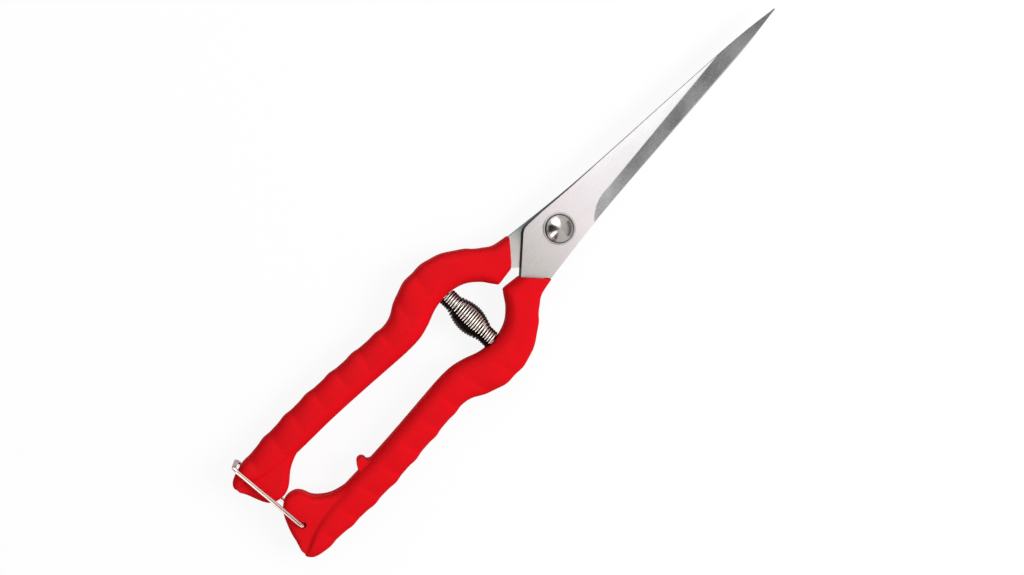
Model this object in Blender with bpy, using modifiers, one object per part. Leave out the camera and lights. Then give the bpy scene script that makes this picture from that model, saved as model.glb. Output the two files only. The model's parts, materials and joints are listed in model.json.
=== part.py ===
"""Floral snips: two long pointed blades on a domed pivot bolt, two moulded S-shaped
grips over the blades' tangs, a barrel spring between the grips and a swinging wire bail
that holds the pommels together.

Frame, in metres: the origin is on the pivot axis, on the nut's flat underside.
+Y runs to the blade tips, +X to the front half's grip, and +Z up through the bolt's dome.
The snips lie flat and closed. The front half has the upper blade, the rear half is the
same blade and a like grip turned half a turn about the line between the blades.
"""
import math

import bmesh
import bpy
from mathutils import Matrix, Vector

# ---- fits -------------------------------------------------------------------------
GAP = 0.0003                # air between pieces that touch
PARTING_HEIGHT = 0.0065     # the plane between the blades, above the nut's underside

# ---- blades -----------------------------------------------------------------------
BLADE_REACH = 0.0857        # pivot to tip
BLADE_WIDTH = 0.0143        # at the pivot
BLADE_THICK = 0.0022
TIP_WIDTH = 0.0003
TIP_THICK = 0.0010
EDGE_THICK = 0.00035        # what the grinding leaves at the cutting edge
SHOULDER_BACK = 0.0065      # straight side of the blade behind the pivot
BEVEL_START = 0.0082        # where the ground bevel leaves the cutting edge
BEVEL_FULL = 0.0180         # where the bevel has its full width, and the blade starts to thin
BEVEL_WIDTH = 0.0035
BEVEL_OUT = 0.0650          # where the bevel has crossed the blade to the spine
PLUNGE_CURVE = 2.5          # how sharply the bevel's end curves in from the edge
TANG_WIDTH = 0.0048
TANG_SHORT = 0.0162         # the tang ends this far inside the pommel's end
# Half widths along the blade, as shares: (share of the reach, cutting side, spine side)
BLADE_TAPER = ((0.0, 1.0, 1.0), (0.28, 0.69, 0.705), (0.56, 0.434, 0.483), (0.84, 0.205, 0.257))

# ---- grips ------------------------------------------------------------------------
GRIP_REACH = 0.1142         # pivot to the pommel's end
GRIP_THICK = 0.0100
WEB_THICK = 0.0070          # the flat web inside the pommel
WEB_ROUND = 0.0008
END_ACROSS = 0.0051         # middle of the end face that the blade enters
END_BACK = 0.0145
END_WIDTH = 0.0089
END_ANGLE = math.radians(42.3)
NOSE_ACROSS = 0.00075       # half the gap between the two grips' noses
NOSE_BACK = 0.0203
BULGE_ACROSS = 0.0093       # half the gap between the grips where the spring sits
BULGE_WIDTH = 0.0106
WAIST_ACROSS = 0.0060       # half the gap between the grips at the waist
PALM_ACROSS = 0.0080        # half the gap between the arms near the pommels
ARM_WIDTH = 0.0094
RIB_HEIGHT = 0.00022        # swell of the outer side between the finger ribs
RIB_PITCH = 0.0085
RIB_FIRST = 0.0991          # the last rib towards the pommel, behind the pivot
SECTION_STEP = 0.0021       # greatest distance between two sections of an arm
SECTION_SIDES = 14
SECTION_SQUARENESS = 0.62   # 1 is an ellipse, less is squarer
POMMEL_GAP = 0.0008
POMMEL_SPLIT = -0.0019      # the middle of the gap between the pommels, across

# ---- pivot ------------------------------------------------------------------------
SHANK_RADIUS = 0.0020
DOME_RADIUS = 0.00415
DOME_HEIGHT = 0.0022
DOME_RIM = 0.0004
HEAD_WASHER_RADIUS = 0.0045
HEAD_WASHER_THICK = 0.0005
NUT_RADIUS = 0.0045         # to the hexagon's corners
NUT_FLOOR = 0.0010          # closed underside of the nut
NUT_WASHER_RADIUS = 0.0050
NUT_WASHER_THICK = 0.0005

# ---- spring and its studs ---------------------------------------------------------
SPRING_BACK = 0.0354
SPRING_WIRE = 0.00062
SPRING_END_RADIUS = 0.00229     # to the middle of the wire
SPRING_MID_RADIUS = 0.00369
SPRING_TURNS = 15
SPRING_END_TURNS = 3            # closer turns at each end
SPRING_END_PITCH = 0.00106
SPRING_TURN_POINTS = 9
STUD_RADIUS = 0.0013
STUD_OUT = 0.0026               # length of the stud inside the spring
STUD_IN = 0.0019                # length of the stud inside the grip

# ---- latch ------------------------------------------------------------------------
BAIL_WIRE = 0.0012
BAIL_INSIDE = 0.0009            # the bail's hinge lies this far inside the arm's inner side
BAIL_BACK = GRIP_REACH - 0.0060
BAIL_BAR_BACK = GRIP_REACH - 0.0049     # the crossbar outside the rear pommel
BAIL_BAR_AIR = 0.0010
BAIL_BEND = 0.0012              # radius of the bends, to the middle of the wire
BAIL_PIN_DEPTH = 0.0022         # how far each bent end enters the pommel's web
CATCH_BACK = GRIP_REACH - 0.0302        # the parking catch on the front arm's inner side
CATCH_OUT = 0.0028
CATCH_WIDTH = 0.0028
CATCH_THICK = 0.0060

BAIL_ACROSS = PALM_ACROSS - BAIL_INSIDE
BLADE_LOW = GAP / 2
BLADE_TOP = BLADE_LOW + BLADE_THICK


def srgb(red, green, blue):
    """Linear colour of an sRGB one given as three numbers from 0 to 255."""
    def channel(value):
        share = value / 255
        return share / 12.92 if share <= 0.04045 else ((share + 0.055) / 1.055) ** 2.4
    return (channel(red), channel(green), channel(blue), 1.0)


def clear_scene():
    for thing in list(bpy.data.objects):
        bpy.data.objects.remove(thing, do_unlink=True)


def new_collection(name):
    collection = bpy.data.collections.new(name)
    bpy.context.scene.collection.children.link(collection)
    return collection


def material(name, colour, roughness, metallic):
    made = bpy.data.materials.new(name)
    made.use_nodes = True
    made.diffuse_color = colour
    shader = made.node_tree.nodes["Principled BSDF"]
    shader.inputs["Base Color"].default_value = colour
    shader.inputs["Roughness"].default_value = roughness
    shader.inputs["Metallic"].default_value = metallic
    return made


# ---- small modelling helpers ------------------------------------------------------
def add_object(name, data, collection, finish=None):
    made = bpy.data.objects.new(name, data)
    collection.objects.link(made)
    if finish:
        data.materials.clear()
        data.materials.append(finish)
    return made


def mesh_from(name, fill):
    """A mesh that the function fill(bm) builds."""
    bm = bmesh.new()
    fill(bm)
    mesh = bpy.data.meshes.new(name)
    bm.to_mesh(mesh)
    bm.free()
    return mesh


def shade(thing, degrees=35):
    thing.data.shade_smooth()
    thing.data.set_sharp_from_angle(angle=math.radians(degrees))


def flat_plate(name, outline, thick, collection, rounding=0.0):
    """A mesh plate: a filled 2D curve extruded to both sides of its plane."""
    curve = bpy.data.curves.new(name, "CURVE")
    curve.dimensions = "2D"
    curve.fill_mode = "BOTH"
    curve.extrude = thick / 2 - rounding
    curve.bevel_depth = rounding
    curve.bevel_resolution = 1
    curve.offset = -rounding
    spline = curve.splines.new("POLY")
    spline.points.add(len(outline) - 1)
    spline.use_cyclic_u = True
    for point, (x, y) in zip(spline.points, outline):
        point.co = (x, y, 0.0, 1.0)
    source = add_object(name + "_curve", curve, collection)
    bpy.context.view_layer.update()
    evaluated = source.evaluated_get(bpy.context.evaluated_depsgraph_get())
    mesh = bpy.data.meshes.new_from_object(evaluated)
    bm = bmesh.new()
    bm.from_mesh(mesh)
    bmesh.ops.remove_doubles(bm, verts=bm.verts, dist=0.000001)
    bm.to_mesh(mesh)
    bm.free()
    mesh.name = name
    plate = add_object(name, mesh, collection)
    plate.matrix_world = source.matrix_world
    bpy.data.objects.remove(source, do_unlink=True)
    return plate


def loft(name, rings):
    """A closed mesh through rings of equally many points, with flat ends."""
    def fill(bm):
        loops = [[bm.verts.new(point) for point in ring] for ring in rings]
        for low, high in zip(loops, loops[1:]):
            for k in range(len(low)):
                after = (k + 1) % len(low)
                bm.faces.new((low[k], low[after], high[after], high[k]))
        bm.faces.new(list(reversed(loops[0])))
        bm.faces.new(loops[-1])
        bmesh.ops.recalc_face_normals(bm, faces=bm.faces)
    return mesh_from(name, fill)


def cylinder(name, radius, depth, sides, collection, finish=None):
    def fill(bm):
        bmesh.ops.create_cone(bm, cap_ends=True, segments=sides, radius1=radius,
                              radius2=radius, depth=depth)
    return add_object(name, mesh_from(name, fill), collection, finish)


def turned(name, profile, sides, collection, finish, closed=False):
    """A solid of revolution about Z: the profile runs down its outer side."""
    def fill(bm):
        points = [bm.verts.new((radius, 0.0, height)) for radius, height in profile]
        for first, second in zip(points, points[1:]):
            bm.edges.new((first, second))
        if closed:
            bm.edges.new((points[-1], points[0]))
    made = add_object(name, mesh_from(name, fill), collection, finish)
    screw = made.modifiers.new("turn", "SCREW")
    screw.steps = sides
    screw.render_steps = sides
    screw.use_merge_vertices = True
    screw.merge_threshold = 0.00001
    screw.use_smooth_shade = True
    return made


def wire(name, points, thick, resolution, collection, finish):
    curve = bpy.data.curves.new(name, "CURVE")
    curve.dimensions = "3D"
    curve.bevel_depth = thick / 2
    curve.bevel_resolution = resolution
    curve.use_fill_caps = True
    spline = curve.splines.new("POLY")
    spline.points.add(len(points) - 1)
    spline.use_smooth = True
    for point, place in zip(spline.points, points):
        point.co = (*place, 1.0)
    return add_object(name, curve, collection, finish)


def boolean(thing, tool, operation):
    cut = thing.modifiers.new(tool.name, "BOOLEAN")
    cut.operation = operation
    cut.solver = "EXACT"
    cut.object = tool
    tool.hide_render = True
    tool.display_type = "WIRE"


def half_turn(rear):
    """Place of a half in the world: the rear one is turned about the parting line."""
    place = Matrix.Translation((0.0, 0.0, PARTING_HEIGHT))
    return place @ Matrix.Rotation(math.pi, 4, "Y") if rear else place


def through(stations, step):
    """Rows of numbers on a smooth line (Catmull-Rom) through the given rows."""
    rows = [tuple(stations[0])]
    for k in range(len(stations) - 1):
        before = stations[max(k - 1, 0)]
        start = stations[k]
        end = stations[k + 1]
        after = stations[min(k + 2, len(stations) - 1)]
        count = max(1, math.ceil(math.dist(start, end) / math.sqrt(2) / step))
        for n in range(1, count + 1):
            t = n / count
            rows.append(tuple(
                0.5 * (2 * b + (c - a) * t + (2 * a - 5 * b + 4 * c - d) * t ** 2
                       + (3 * b - a - 3 * c + d) * t ** 3)
                for a, b, c, d in zip(before, start, end, after)))
    return rows


# ---- grip outline -----------------------------------------------------------------
def grip_stations():
    """Lines across a grip from its end face to its pommel, in the plane of the snips.

    Each row is (inner across, inner along, outer across, outer along) on the +X side.
    """
    lean = Vector((math.cos(END_ANGLE), math.sin(END_ANGLE))) * END_WIDTH / 2
    waist_back = SPRING_BACK + 0.0170
    palm_back = GRIP_REACH - 0.0222
    return [
        (END_ACROSS - lean.x, -END_BACK - lean.y, END_ACROSS + lean.x, -END_BACK + lean.y),
        (NOSE_ACROSS, -NOSE_BACK, NOSE_ACROSS + 0.0087, -NOSE_BACK + 0.0040),
        (NOSE_ACROSS + 0.0013, -NOSE_BACK - 0.0031, NOSE_ACROSS + 0.0109, -NOSE_BACK + 0.0008),
        (BULGE_ACROSS - 0.0041, -SPRING_BACK + 0.0095,
         BULGE_ACROSS + BULGE_WIDTH - 0.0054, -SPRING_BACK + 0.0127),
        (BULGE_ACROSS - 0.0016, -SPRING_BACK + 0.0065,
         BULGE_ACROSS + BULGE_WIDTH - 0.0026, -SPRING_BACK + 0.0085),
        (BULGE_ACROSS - 0.0003, -SPRING_BACK + 0.0030,
         BULGE_ACROSS + BULGE_WIDTH - 0.0006, -SPRING_BACK + 0.0039),
        (BULGE_ACROSS, -SPRING_BACK - 0.0006,
         BULGE_ACROSS + BULGE_WIDTH, -SPRING_BACK - 0.0014),
        (BULGE_ACROSS - 0.0006, -SPRING_BACK - 0.0048,
         BULGE_ACROSS + BULGE_WIDTH - 0.0003, -SPRING_BACK - 0.0064),
        (WAIST_ACROSS + 0.0011, -waist_back + 0.0078,
         WAIST_ACROSS + ARM_WIDTH + 0.0026, -waist_back + 0.0058),
        (WAIST_ACROSS + 0.0001, -waist_back + 0.0036,
         WAIST_ACROSS + ARM_WIDTH + 0.0006, -waist_back + 0.0018),
        (WAIST_ACROSS, -waist_back - 0.0013, WAIST_ACROSS + ARM_WIDTH, -waist_back - 0.0021),
        (0.8 * WAIST_ACROSS + 0.2 * PALM_ACROSS, -waist_back - 0.0076,
         0.8 * WAIST_ACROSS + 0.2 * PALM_ACROSS + ARM_WIDTH, -waist_back - 0.0076),
        (0.4 * WAIST_ACROSS + 0.6 * PALM_ACROSS, -palm_back + 0.0210,
         0.4 * WAIST_ACROSS + 0.6 * PALM_ACROSS + ARM_WIDTH, -palm_back + 0.0210),
        (PALM_ACROSS - 0.0002, -palm_back + 0.0100,
         PALM_ACROSS + ARM_WIDTH - 0.0001, -palm_back + 0.0100),
        (PALM_ACROSS, -palm_back, PALM_ACROSS + ARM_WIDTH, -palm_back),
        (PALM_ACROSS + 0.0004, -GRIP_REACH + 0.0130,
         PALM_ACROSS + ARM_WIDTH - 0.0003, -GRIP_REACH + 0.0130),
        (PALM_ACROSS + 0.0022, -GRIP_REACH + 0.0070,
         PALM_ACROSS + ARM_WIDTH - 0.0008, -GRIP_REACH + 0.0070),
        (PALM_ACROSS + 0.0040, -GRIP_REACH + 0.0033,
         PALM_ACROSS + ARM_WIDTH - 0.0015, -GRIP_REACH + 0.0033),
        (PALM_ACROSS + 0.0051, -GRIP_REACH + 0.0011,
         PALM_ACROSS + ARM_WIDTH - 0.0026, -GRIP_REACH + 0.0011),
        (PALM_ACROSS + 0.0058, -GRIP_REACH,
         PALM_ACROSS + ARM_WIDTH - 0.0035, -GRIP_REACH),
    ]


def inner_across(back):
    """How far from the middle plane a grip's inner side is, that far behind the pivot."""
    rows = through(grip_stations(), SECTION_STEP)
    for low, high in zip(rows, rows[1:]):
        if high[1] <= -back <= low[1]:
            share = (low[1] + back) / (low[1] - high[1])
            return low[0] + share * (high[0] - low[0])
    return BULGE_ACROSS


def outer_across(back):
    """The same for the outer side."""
    rows = through(grip_stations(), SECTION_STEP)
    for low, high in zip(rows, rows[1:]):
        if high[3] <= -back <= low[3]:
            share = (low[3] + back) / (low[3] - high[3])
            return low[2] + share * (high[2] - low[2])
    return BULGE_ACROSS + BULGE_WIDTH


# ---- blades -----------------------------------------------------------------------
def half_width(along, side):
    """Half width of the blade that far past the pivot: side 1 is cutting, 2 the spine."""
    share = along / BLADE_REACH
    tip_share = TIP_WIDTH / BLADE_WIDTH
    knots = [(row[0], row[side]) for row in BLADE_TAPER] + [(1.0, tip_share)]
    for (low, wide), (high, narrow) in zip(knots, knots[1:]):
        if share <= high:
            return BLADE_WIDTH / 2 * (wide + (narrow - wide) * (share - low) / (high - low))
    return BLADE_WIDTH / 2 * tip_share


def tang_sides(widen, lengthen):
    """The tang's two sides along the middle of the grip, from the grip's end face."""
    rows = through(grip_stations(), 2 * SECTION_STEP)
    inner = []
    outer = []
    for inner_x, inner_y, outer_x, outer_y in rows[1:]:
        middle = Vector((inner_x + outer_x, inner_y + outer_y)) / 2
        if middle.y < -GRIP_REACH + TANG_SHORT - lengthen:
            break
        across = Vector((outer_x - inner_x, outer_y - inner_y)).normalized()
        inner.append(tuple(middle - across * (TANG_WIDTH / 2 + widen)))
        outer.append(tuple(middle + across * (TANG_WIDTH / 2 + widen)))
    return inner, outer


def end_face(air):
    """Middle, direction and outward normal of the grip's end face, moved out by air."""
    along = Vector((math.cos(END_ANGLE), math.sin(END_ANGLE)))
    outward = Vector((-along.y, along.x))
    return Vector((END_ACROSS, -END_BACK)) + outward * air, along, outward


def blade_outline():
    middle, along, outward = end_face(GAP)
    half = BLADE_WIDTH / 2
    knots = [row[0] * BLADE_REACH for row in BLADE_TAPER] + [BLADE_REACH]
    cutting = [(half_width(y, 1), y) for y in knots]
    spine = [(-half_width(y, 2), y) for y in reversed(knots)]
    inner, outer = tang_sides(0.0, 0.0)
    root_out = middle + along * END_WIDTH / 2
    root_in = middle - along * END_WIDTH / 2
    tang_out = middle + along * TANG_WIDTH / 2
    tang_in = middle - along * TANG_WIDTH / 2
    shoulder = [(-half, -SHOULDER_BACK + 0.0019), (-half + 0.0003, -SHOULDER_BACK),
                (-half + 0.0010, -SHOULDER_BACK - 0.0011)]
    return ([tuple(root_out)] + cutting + spine + shoulder + [tuple(root_in), tuple(tang_in)]
            + inner + list(reversed(outer)) + [tuple(tang_out)])


def bevel_cutter(collection):
    """What the grinding takes off: a ruled face from the bevel line to the cutting edge."""
    def bevel_line(y):
        wide = half_width(BEVEL_FULL, 1) - BEVEL_WIDTH
        share = (y - BEVEL_FULL) / (BEVEL_OUT - BEVEL_FULL)
        return wide + share * (-half_width(BEVEL_OUT, 2) - wide)

    plunge = [BEVEL_START + (BEVEL_FULL - BEVEL_START) * share
              for share in (0.0, 0.15, 0.3, 0.5, 0.72, 1.0)]
    length = BLADE_REACH - BEVEL_FULL
    straight = [BEVEL_FULL + length * share for share in (0.2, 0.45, 0.7, 0.9, 1.05)]
    rings = []
    for y in plunge + straight:
        line_y = max(y, BEVEL_FULL)
        edge = half_width(line_y, 1)
        wide = edge - bevel_line(line_y)
        top = blade_top(y)
        fall = Vector((wide, BLADE_LOW + EDGE_THICK - blade_top(line_y))).normalized()
        turn = min((y - BEVEL_START) / (BEVEL_FULL - BEVEL_START), 1.0)
        swing = (1 - turn) ** PLUNGE_CURVE
        start = bevel_line(line_y) + swing * (half_width(y, 1) - bevel_line(line_y))
        inward = 0.0010
        outward = wide * 1.5 + 0.0010
        rings.append([
            (start - fall.x * inward, y, top - fall.y * inward),
            (start + fall.x * outward, y, top + fall.y * outward),
            (start + fall.x * outward, y, BLADE_TOP + 0.0020),
            (start - fall.x * inward, y, BLADE_TOP + 0.0020)])
    return add_object("bevel_grind", loft("bevel_grind", rings), collection)


def blade_top(y):
    """Height of the blade's outer face: it thins from the full bevel to the tip."""
    share = max(0.0, (y - BEVEL_FULL) / (BLADE_REACH - BEVEL_FULL))
    return BLADE_TOP + share * (BLADE_LOW + TIP_THICK - BLADE_TOP)


def taper_cutter(collection):
    """What the thinning towards the tip takes off the outer face."""
    side = BLADE_WIDTH
    rings = [[(-side, y, blade_top(y) + (y < BEVEL_FULL) * 0.0001), (side, y, blade_top(y)
              + (y < BEVEL_FULL) * 0.0001), (side, y, 2 * BLADE_TOP), (-side, y, 2 * BLADE_TOP)]
             for y in (BEVEL_FULL, BLADE_REACH * 1.05)]
    return add_object("tip_thinning", loft("tip_thinning", rings), collection)


def build_blades(steel, parts, cutters):
    plate = flat_plate("blade_blank", blade_outline(), BLADE_THICK, cutters)
    plate.data.transform(Matrix.Translation((0.0, 0.0, BLADE_LOW + BLADE_THICK / 2)))
    hole = cylinder("blade_hole", SHANK_RADIUS + GAP, 4 * BLADE_THICK, 32, cutters)
    tools = [taper_cutter(cutters), bevel_cutter(cutters), hole]
    for tool in tools:
        boolean(plate, tool, "DIFFERENCE")
    bpy.context.view_layer.update()
    evaluated = plate.evaluated_get(bpy.context.evaluated_depsgraph_get())
    mesh = bpy.data.meshes.new_from_object(evaluated)
    mesh.name = "blade"
    bpy.data.objects.remove(plate, do_unlink=True)
    for name, rear in (("front_blade", False), ("rear_blade", True)):
        blade = add_object(name, mesh, parts, steel)
        blade.matrix_world = half_turn(rear)


# ---- grips ------------------------------------------------------------------------
def arm_rings():
    """Sections of a grip's raised arm: squarish ovals standing across its middle line."""
    rings = []
    for inner_x, inner_y, outer_x, outer_y in through(grip_stations(), SECTION_STEP):
        middle = Vector((inner_x + outer_x, inner_y + outer_y)) / 2
        across = Vector((outer_x - inner_x, outer_y - inner_y))
        half = across.length / 2
        across.normalize()
        ribs = min(max((-outer_y - SPRING_BACK - 0.0120) / RIB_PITCH, 0.0), 1.0)
        swell = ribs * RIB_HEIGHT * math.cos(math.tau * (outer_y + RIB_FIRST) / RIB_PITCH)
        close = min(max((outer_y + GRIP_REACH) / 0.0050, 0.0), 1.0)
        thick = GRIP_THICK / 2 * (0.72 + 0.28 * math.sqrt(1 - (1 - close) ** 2))
        ring = []
        for k in range(SECTION_SIDES):
            angle = math.tau * (k + 0.5) / SECTION_SIDES
            cosine = math.cos(angle)
            sine = math.sin(angle)
            out = math.copysign(abs(cosine) ** SECTION_SQUARENESS, cosine)
            up = math.copysign(abs(sine) ** SECTION_SQUARENESS, sine)
            reach = out * half + (swell if out > 0 else 0.0) * out
            place = middle + across * reach
            ring.append((place.x, place.y, up * thick))
        rings.append(ring)
    return rings


def web_outline(nose):
    """The flat web inside the pommel: nose is how far across its inner end lies."""
    low = -GRIP_REACH
    rows = [
        (PALM_ACROSS + 0.0030, low + 0.0270), (PALM_ACROSS + 0.0002, low + 0.0245),
        (PALM_ACROSS, low + 0.0218), (PALM_ACROSS - 0.0005, low + 0.0193),
        (PALM_ACROSS - 0.0014, low + 0.0169), (PALM_ACROSS - 0.0029, low + 0.0148),
        (0.5 * PALM_ACROSS + 0.5 * nose, low + 0.0131),
        (nose + 0.0022, low + 0.0121), (nose + 0.0006, low + 0.0107),
        (nose, low + 0.0082), (nose + 0.0007, low + 0.0060), (nose + 0.0030, low + 0.0038),
        (PALM_ACROSS - 0.0024, low + 0.0020), (PALM_ACROSS + 0.0010, low + 0.0010),
        (PALM_ACROSS + 0.0045, low + 0.0005), (PALM_ACROSS + 0.0062, low + 0.0022),
        (PALM_ACROSS + 0.0050, low + 0.0140)]
    return rows


def slot_cutter(collection):
    """Room for the tang, open at the grip's end face."""
    middle, along, outward = end_face(GAP)
    inner, outer = tang_sides(GAP, GAP)
    half = along * (TANG_WIDTH / 2 + GAP)
    mouth = middle + outward * TANG_WIDTH
    outline = ([tuple(mouth - half), tuple(middle - half)] + inner + list(reversed(outer))
               + [tuple(middle + half), tuple(mouth + half)])
    slot = flat_plate("tang_slot", outline, BLADE_THICK + 2 * GAP, collection)
    slot.data.transform(Matrix.Translation((0.0, 0.0, BLADE_LOW + BLADE_THICK / 2)))
    return slot


def catch_outline():
    """Rounded nub on the arm's inner side that the bail can be parked behind."""
    root = inner_across(CATCH_BACK)
    radius = CATCH_WIDTH / 2
    centre = Vector((root - CATCH_OUT + radius, -CATCH_BACK))
    arc = [tuple(centre + Vector((math.cos(angle), math.sin(angle))) * radius)
           for angle in [math.radians(60 + 40 * k) for k in range(6)]]
    return arc + [(root + 0.0020, -CATCH_BACK - radius - 0.0014),
                  (root + 0.0020, -CATCH_BACK + radius + 0.0002)]


def build_grips(plastic, parts, cutters):
    slot = slot_cutter(cutters)
    seat = cylinder("stud_seat", STUD_RADIUS + GAP, 2 * (STUD_IN + GAP), 20, cutters)
    seat.data.transform(Matrix.Rotation(math.pi / 2, 4, "Y"))
    seat.data.transform(Matrix.Translation((inner_across(SPRING_BACK), -SPRING_BACK, 0.0)))
    pin_hole = cylinder("bail_hole", BAIL_WIRE / 2 + GAP, 2 * GRIP_THICK, 20, cutters)
    pin_hole.data.transform(Matrix.Translation((BAIL_ACROSS, -BAIL_BACK, 0.0)))
    catch = flat_plate("bail_catch", catch_outline(), CATCH_THICK, cutters, WEB_ROUND / 2)
    front_nose = POMMEL_SPLIT + POMMEL_GAP / 2
    rear_nose = -POMMEL_SPLIT + POMMEL_GAP / 2
    arm = loft("arm", arm_rings())
    for name, rear, nose in (("front_grip", False, front_nose), ("rear_grip", True, rear_nose)):
        web = flat_plate(name + "_web", web_outline(nose), WEB_THICK, cutters, WEB_ROUND)
        grip = add_object(name, arm.copy(), parts, plastic)
        boolean(grip, web, "UNION")
        if not rear:
            boolean(grip, catch, "UNION")
            boolean(grip, pin_hole, "DIFFERENCE")
        boolean(grip, slot, "DIFFERENCE")
        boolean(grip, seat, "DIFFERENCE")
        shade(grip)
        tools = [modifier.object for modifier in grip.modifiers]
        own = half_turn(rear)
        grip.matrix_world = own
        for modifier, tool in zip(grip.modifiers, tools):
            copy = tool.copy()
            copy.name = name + "_" + tool.name
            cutters.objects.link(copy)
            copy.matrix_world = own
            modifier.object = copy
        bpy.data.objects.remove(web, do_unlink=True)
    for tool in (slot, seat, pin_hole, catch):
        bpy.data.objects.remove(tool, do_unlink=True)
    bpy.data.meshes.remove(arm)


# ---- pivot ------------------------------------------------------------------------
def build_pivot(steel, parts, cutters):
    top = PARTING_HEIGHT + BLADE_TOP
    washer_low = top + GAP
    head_low = washer_low + HEAD_WASHER_THICK + GAP
    under = PARTING_HEIGHT - BLADE_TOP
    nut_washer_top = under - GAP
    nut_top = nut_washer_top - NUT_WASHER_THICK - GAP
    shank_low = NUT_FLOOR + GAP

    dome = []
    for k in range(8):
        angle = math.pi / 2 * (1 - k / 8)
        dome.append((DOME_RADIUS * math.cos(angle) if k else 0.0,
                     head_low + DOME_RIM + (DOME_HEIGHT - DOME_RIM) * math.sin(angle)))
    profile = dome + [(DOME_RADIUS, head_low + DOME_RIM), (DOME_RADIUS, head_low),
                      (SHANK_RADIUS, head_low), (SHANK_RADIUS, shank_low), (0.0, shank_low)]
    turned("pivot_bolt", profile, 32, parts, steel)
    bore = SHANK_RADIUS + GAP
    for name, low, thick, radius in (
            ("head_washer", washer_low, HEAD_WASHER_THICK, HEAD_WASHER_RADIUS),
            ("nut_washer", nut_washer_top - NUT_WASHER_THICK, NUT_WASHER_THICK,
             NUT_WASHER_RADIUS)):
        ring = [(radius, low + thick), (radius, low), (bore, low), (bore, low + thick)]
        turned(name, ring, 32, parts, steel, closed=True)
    nut = cylinder("pivot_nut", NUT_RADIUS, nut_top, 6, parts, steel)
    nut.data.transform(Matrix.Translation((0.0, 0.0, nut_top / 2)))
    hole = cylinder("nut_bore", bore, 2 * (nut_top - NUT_FLOOR), 24, cutters)
    hole.data.transform(Matrix.Translation((0.0, 0.0, nut_top)))
    boolean(nut, hole, "DIFFERENCE")


# ---- spring -----------------------------------------------------------------------
def spring_points():
    """One helix along X: close turns at both ends, wider and fatter in the middle."""
    half_length = inner_across(SPRING_BACK) - GAP - SPRING_WIRE / 2
    end_run = SPRING_END_TURNS * SPRING_END_PITCH
    middle_turns = SPRING_TURNS - 2 * SPRING_END_TURNS
    middle_pitch = 2 * (half_length - end_run) / middle_turns
    points = []
    for n in range(SPRING_TURNS * SPRING_TURN_POINTS + 1):
        turn = n / SPRING_TURN_POINTS
        first = min(turn, SPRING_END_TURNS)
        middle = min(max(turn - SPRING_END_TURNS, 0.0), middle_turns)
        last = max(turn - SPRING_END_TURNS - middle_turns, 0.0)
        x = -half_length + (first + last) * SPRING_END_PITCH + middle * middle_pitch
        swell = math.sin(math.pi * middle / middle_turns) ** 0.8
        radius = SPRING_END_RADIUS + (SPRING_MID_RADIUS - SPRING_END_RADIUS) * swell
        angle = math.tau * turn
        points.append(Vector((x, -SPRING_BACK + radius * math.cos(angle),
                              PARTING_HEIGHT + radius * math.sin(angle))))
    return points


def least_self_gap(points):
    """Least air between the wire's turns, measured between points of different turns."""
    least = math.inf
    apart = SPRING_TURN_POINTS // 2 + 1
    for k, point in enumerate(points):
        for other, after in zip(points[k + apart:], points[k + apart + 1:]):
            run = after - other
            share = max(0.0, min(1.0, (point - other).dot(run) / run.length_squared))
            least = min(least, (other + run * share - point).length)
    return least - SPRING_WIRE


def build_spring(steel, parts):
    points = spring_points()
    print("spring: least gap to itself %.3f mm" % (least_self_gap(points) * 1000))
    wire("return_spring", points, SPRING_WIRE, 1, parts, steel)
    for name, side in (("front_spring_stud", 1), ("rear_spring_stud", -1)):
        tip = STUD_OUT + STUD_IN
        profile = [(0.0, tip), (STUD_RADIUS * 0.6, tip - STUD_RADIUS * 0.1),
                   (STUD_RADIUS, tip - STUD_RADIUS * 0.5), (STUD_RADIUS, 0.0), (0.0, 0.0)]
        stud = turned(name, profile, 20, parts, steel)
        root = (inner_across(SPRING_BACK) + STUD_IN) * side
        stud.matrix_world = (Matrix.Translation((root, -SPRING_BACK, PARTING_HEIGHT))
                             @ Matrix.Rotation(-side * math.pi / 2, 4, "Y"))


# ---- latch ------------------------------------------------------------------------
def rounded(corners, radius, steps):
    """A path through the corners with each bend turned into an arc."""
    path = [corners[0]]
    for before, corner, after in zip(corners, corners[1:], corners[2:]):
        into = (corner - before).normalized()
        away = (after - corner).normalized()
        turn = into.angle(away)
        cut = radius * math.tan(turn / 2)
        start = corner - into * cut
        side = (away - into * into.dot(away)).normalized()
        for k in range(steps + 1):
            angle = turn * k / steps
            path.append(start + into * radius * math.sin(angle)
                        + side * radius * (1 - math.cos(angle)))
    path.append(corners[-1])
    return path


def bail_corners():
    """Corners of the bail's wire, from one bent end round the rear pommel to the other."""
    leg = GRIP_THICK / 2 + GAP + BAIL_WIRE / 2
    pin = WEB_THICK / 2 - BAIL_PIN_DEPTH
    bar = -outer_across(BAIL_BAR_BACK) - BAIL_BAR_AIR - BAIL_WIRE / 2
    hinge = Vector((BAIL_ACROSS, -BAIL_BACK, PARTING_HEIGHT))
    crossbar = Vector((bar, -BAIL_BAR_BACK, PARTING_HEIGHT))
    up = Vector((0.0, 0.0, 1.0))
    return [hinge + up * pin, hinge + up * leg, crossbar + up * leg,
            crossbar - up * leg, hinge - up * leg, hinge - up * pin]


def build_latch(steel, parts):
    """The bail, under an empty that stands on its hinge axis."""
    hinge = bpy.data.objects.new("latch_hinge", None)
    hinge.location = (BAIL_ACROSS, -BAIL_BACK, PARTING_HEIGHT)
    parts.objects.link(hinge)
    path = rounded(bail_corners(), BAIL_BEND, 4)
    bail = wire("latch_bail", [point - hinge.location for point in path],
                BAIL_WIRE, 2, parts, steel)
    bail.parent = hinge


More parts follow.
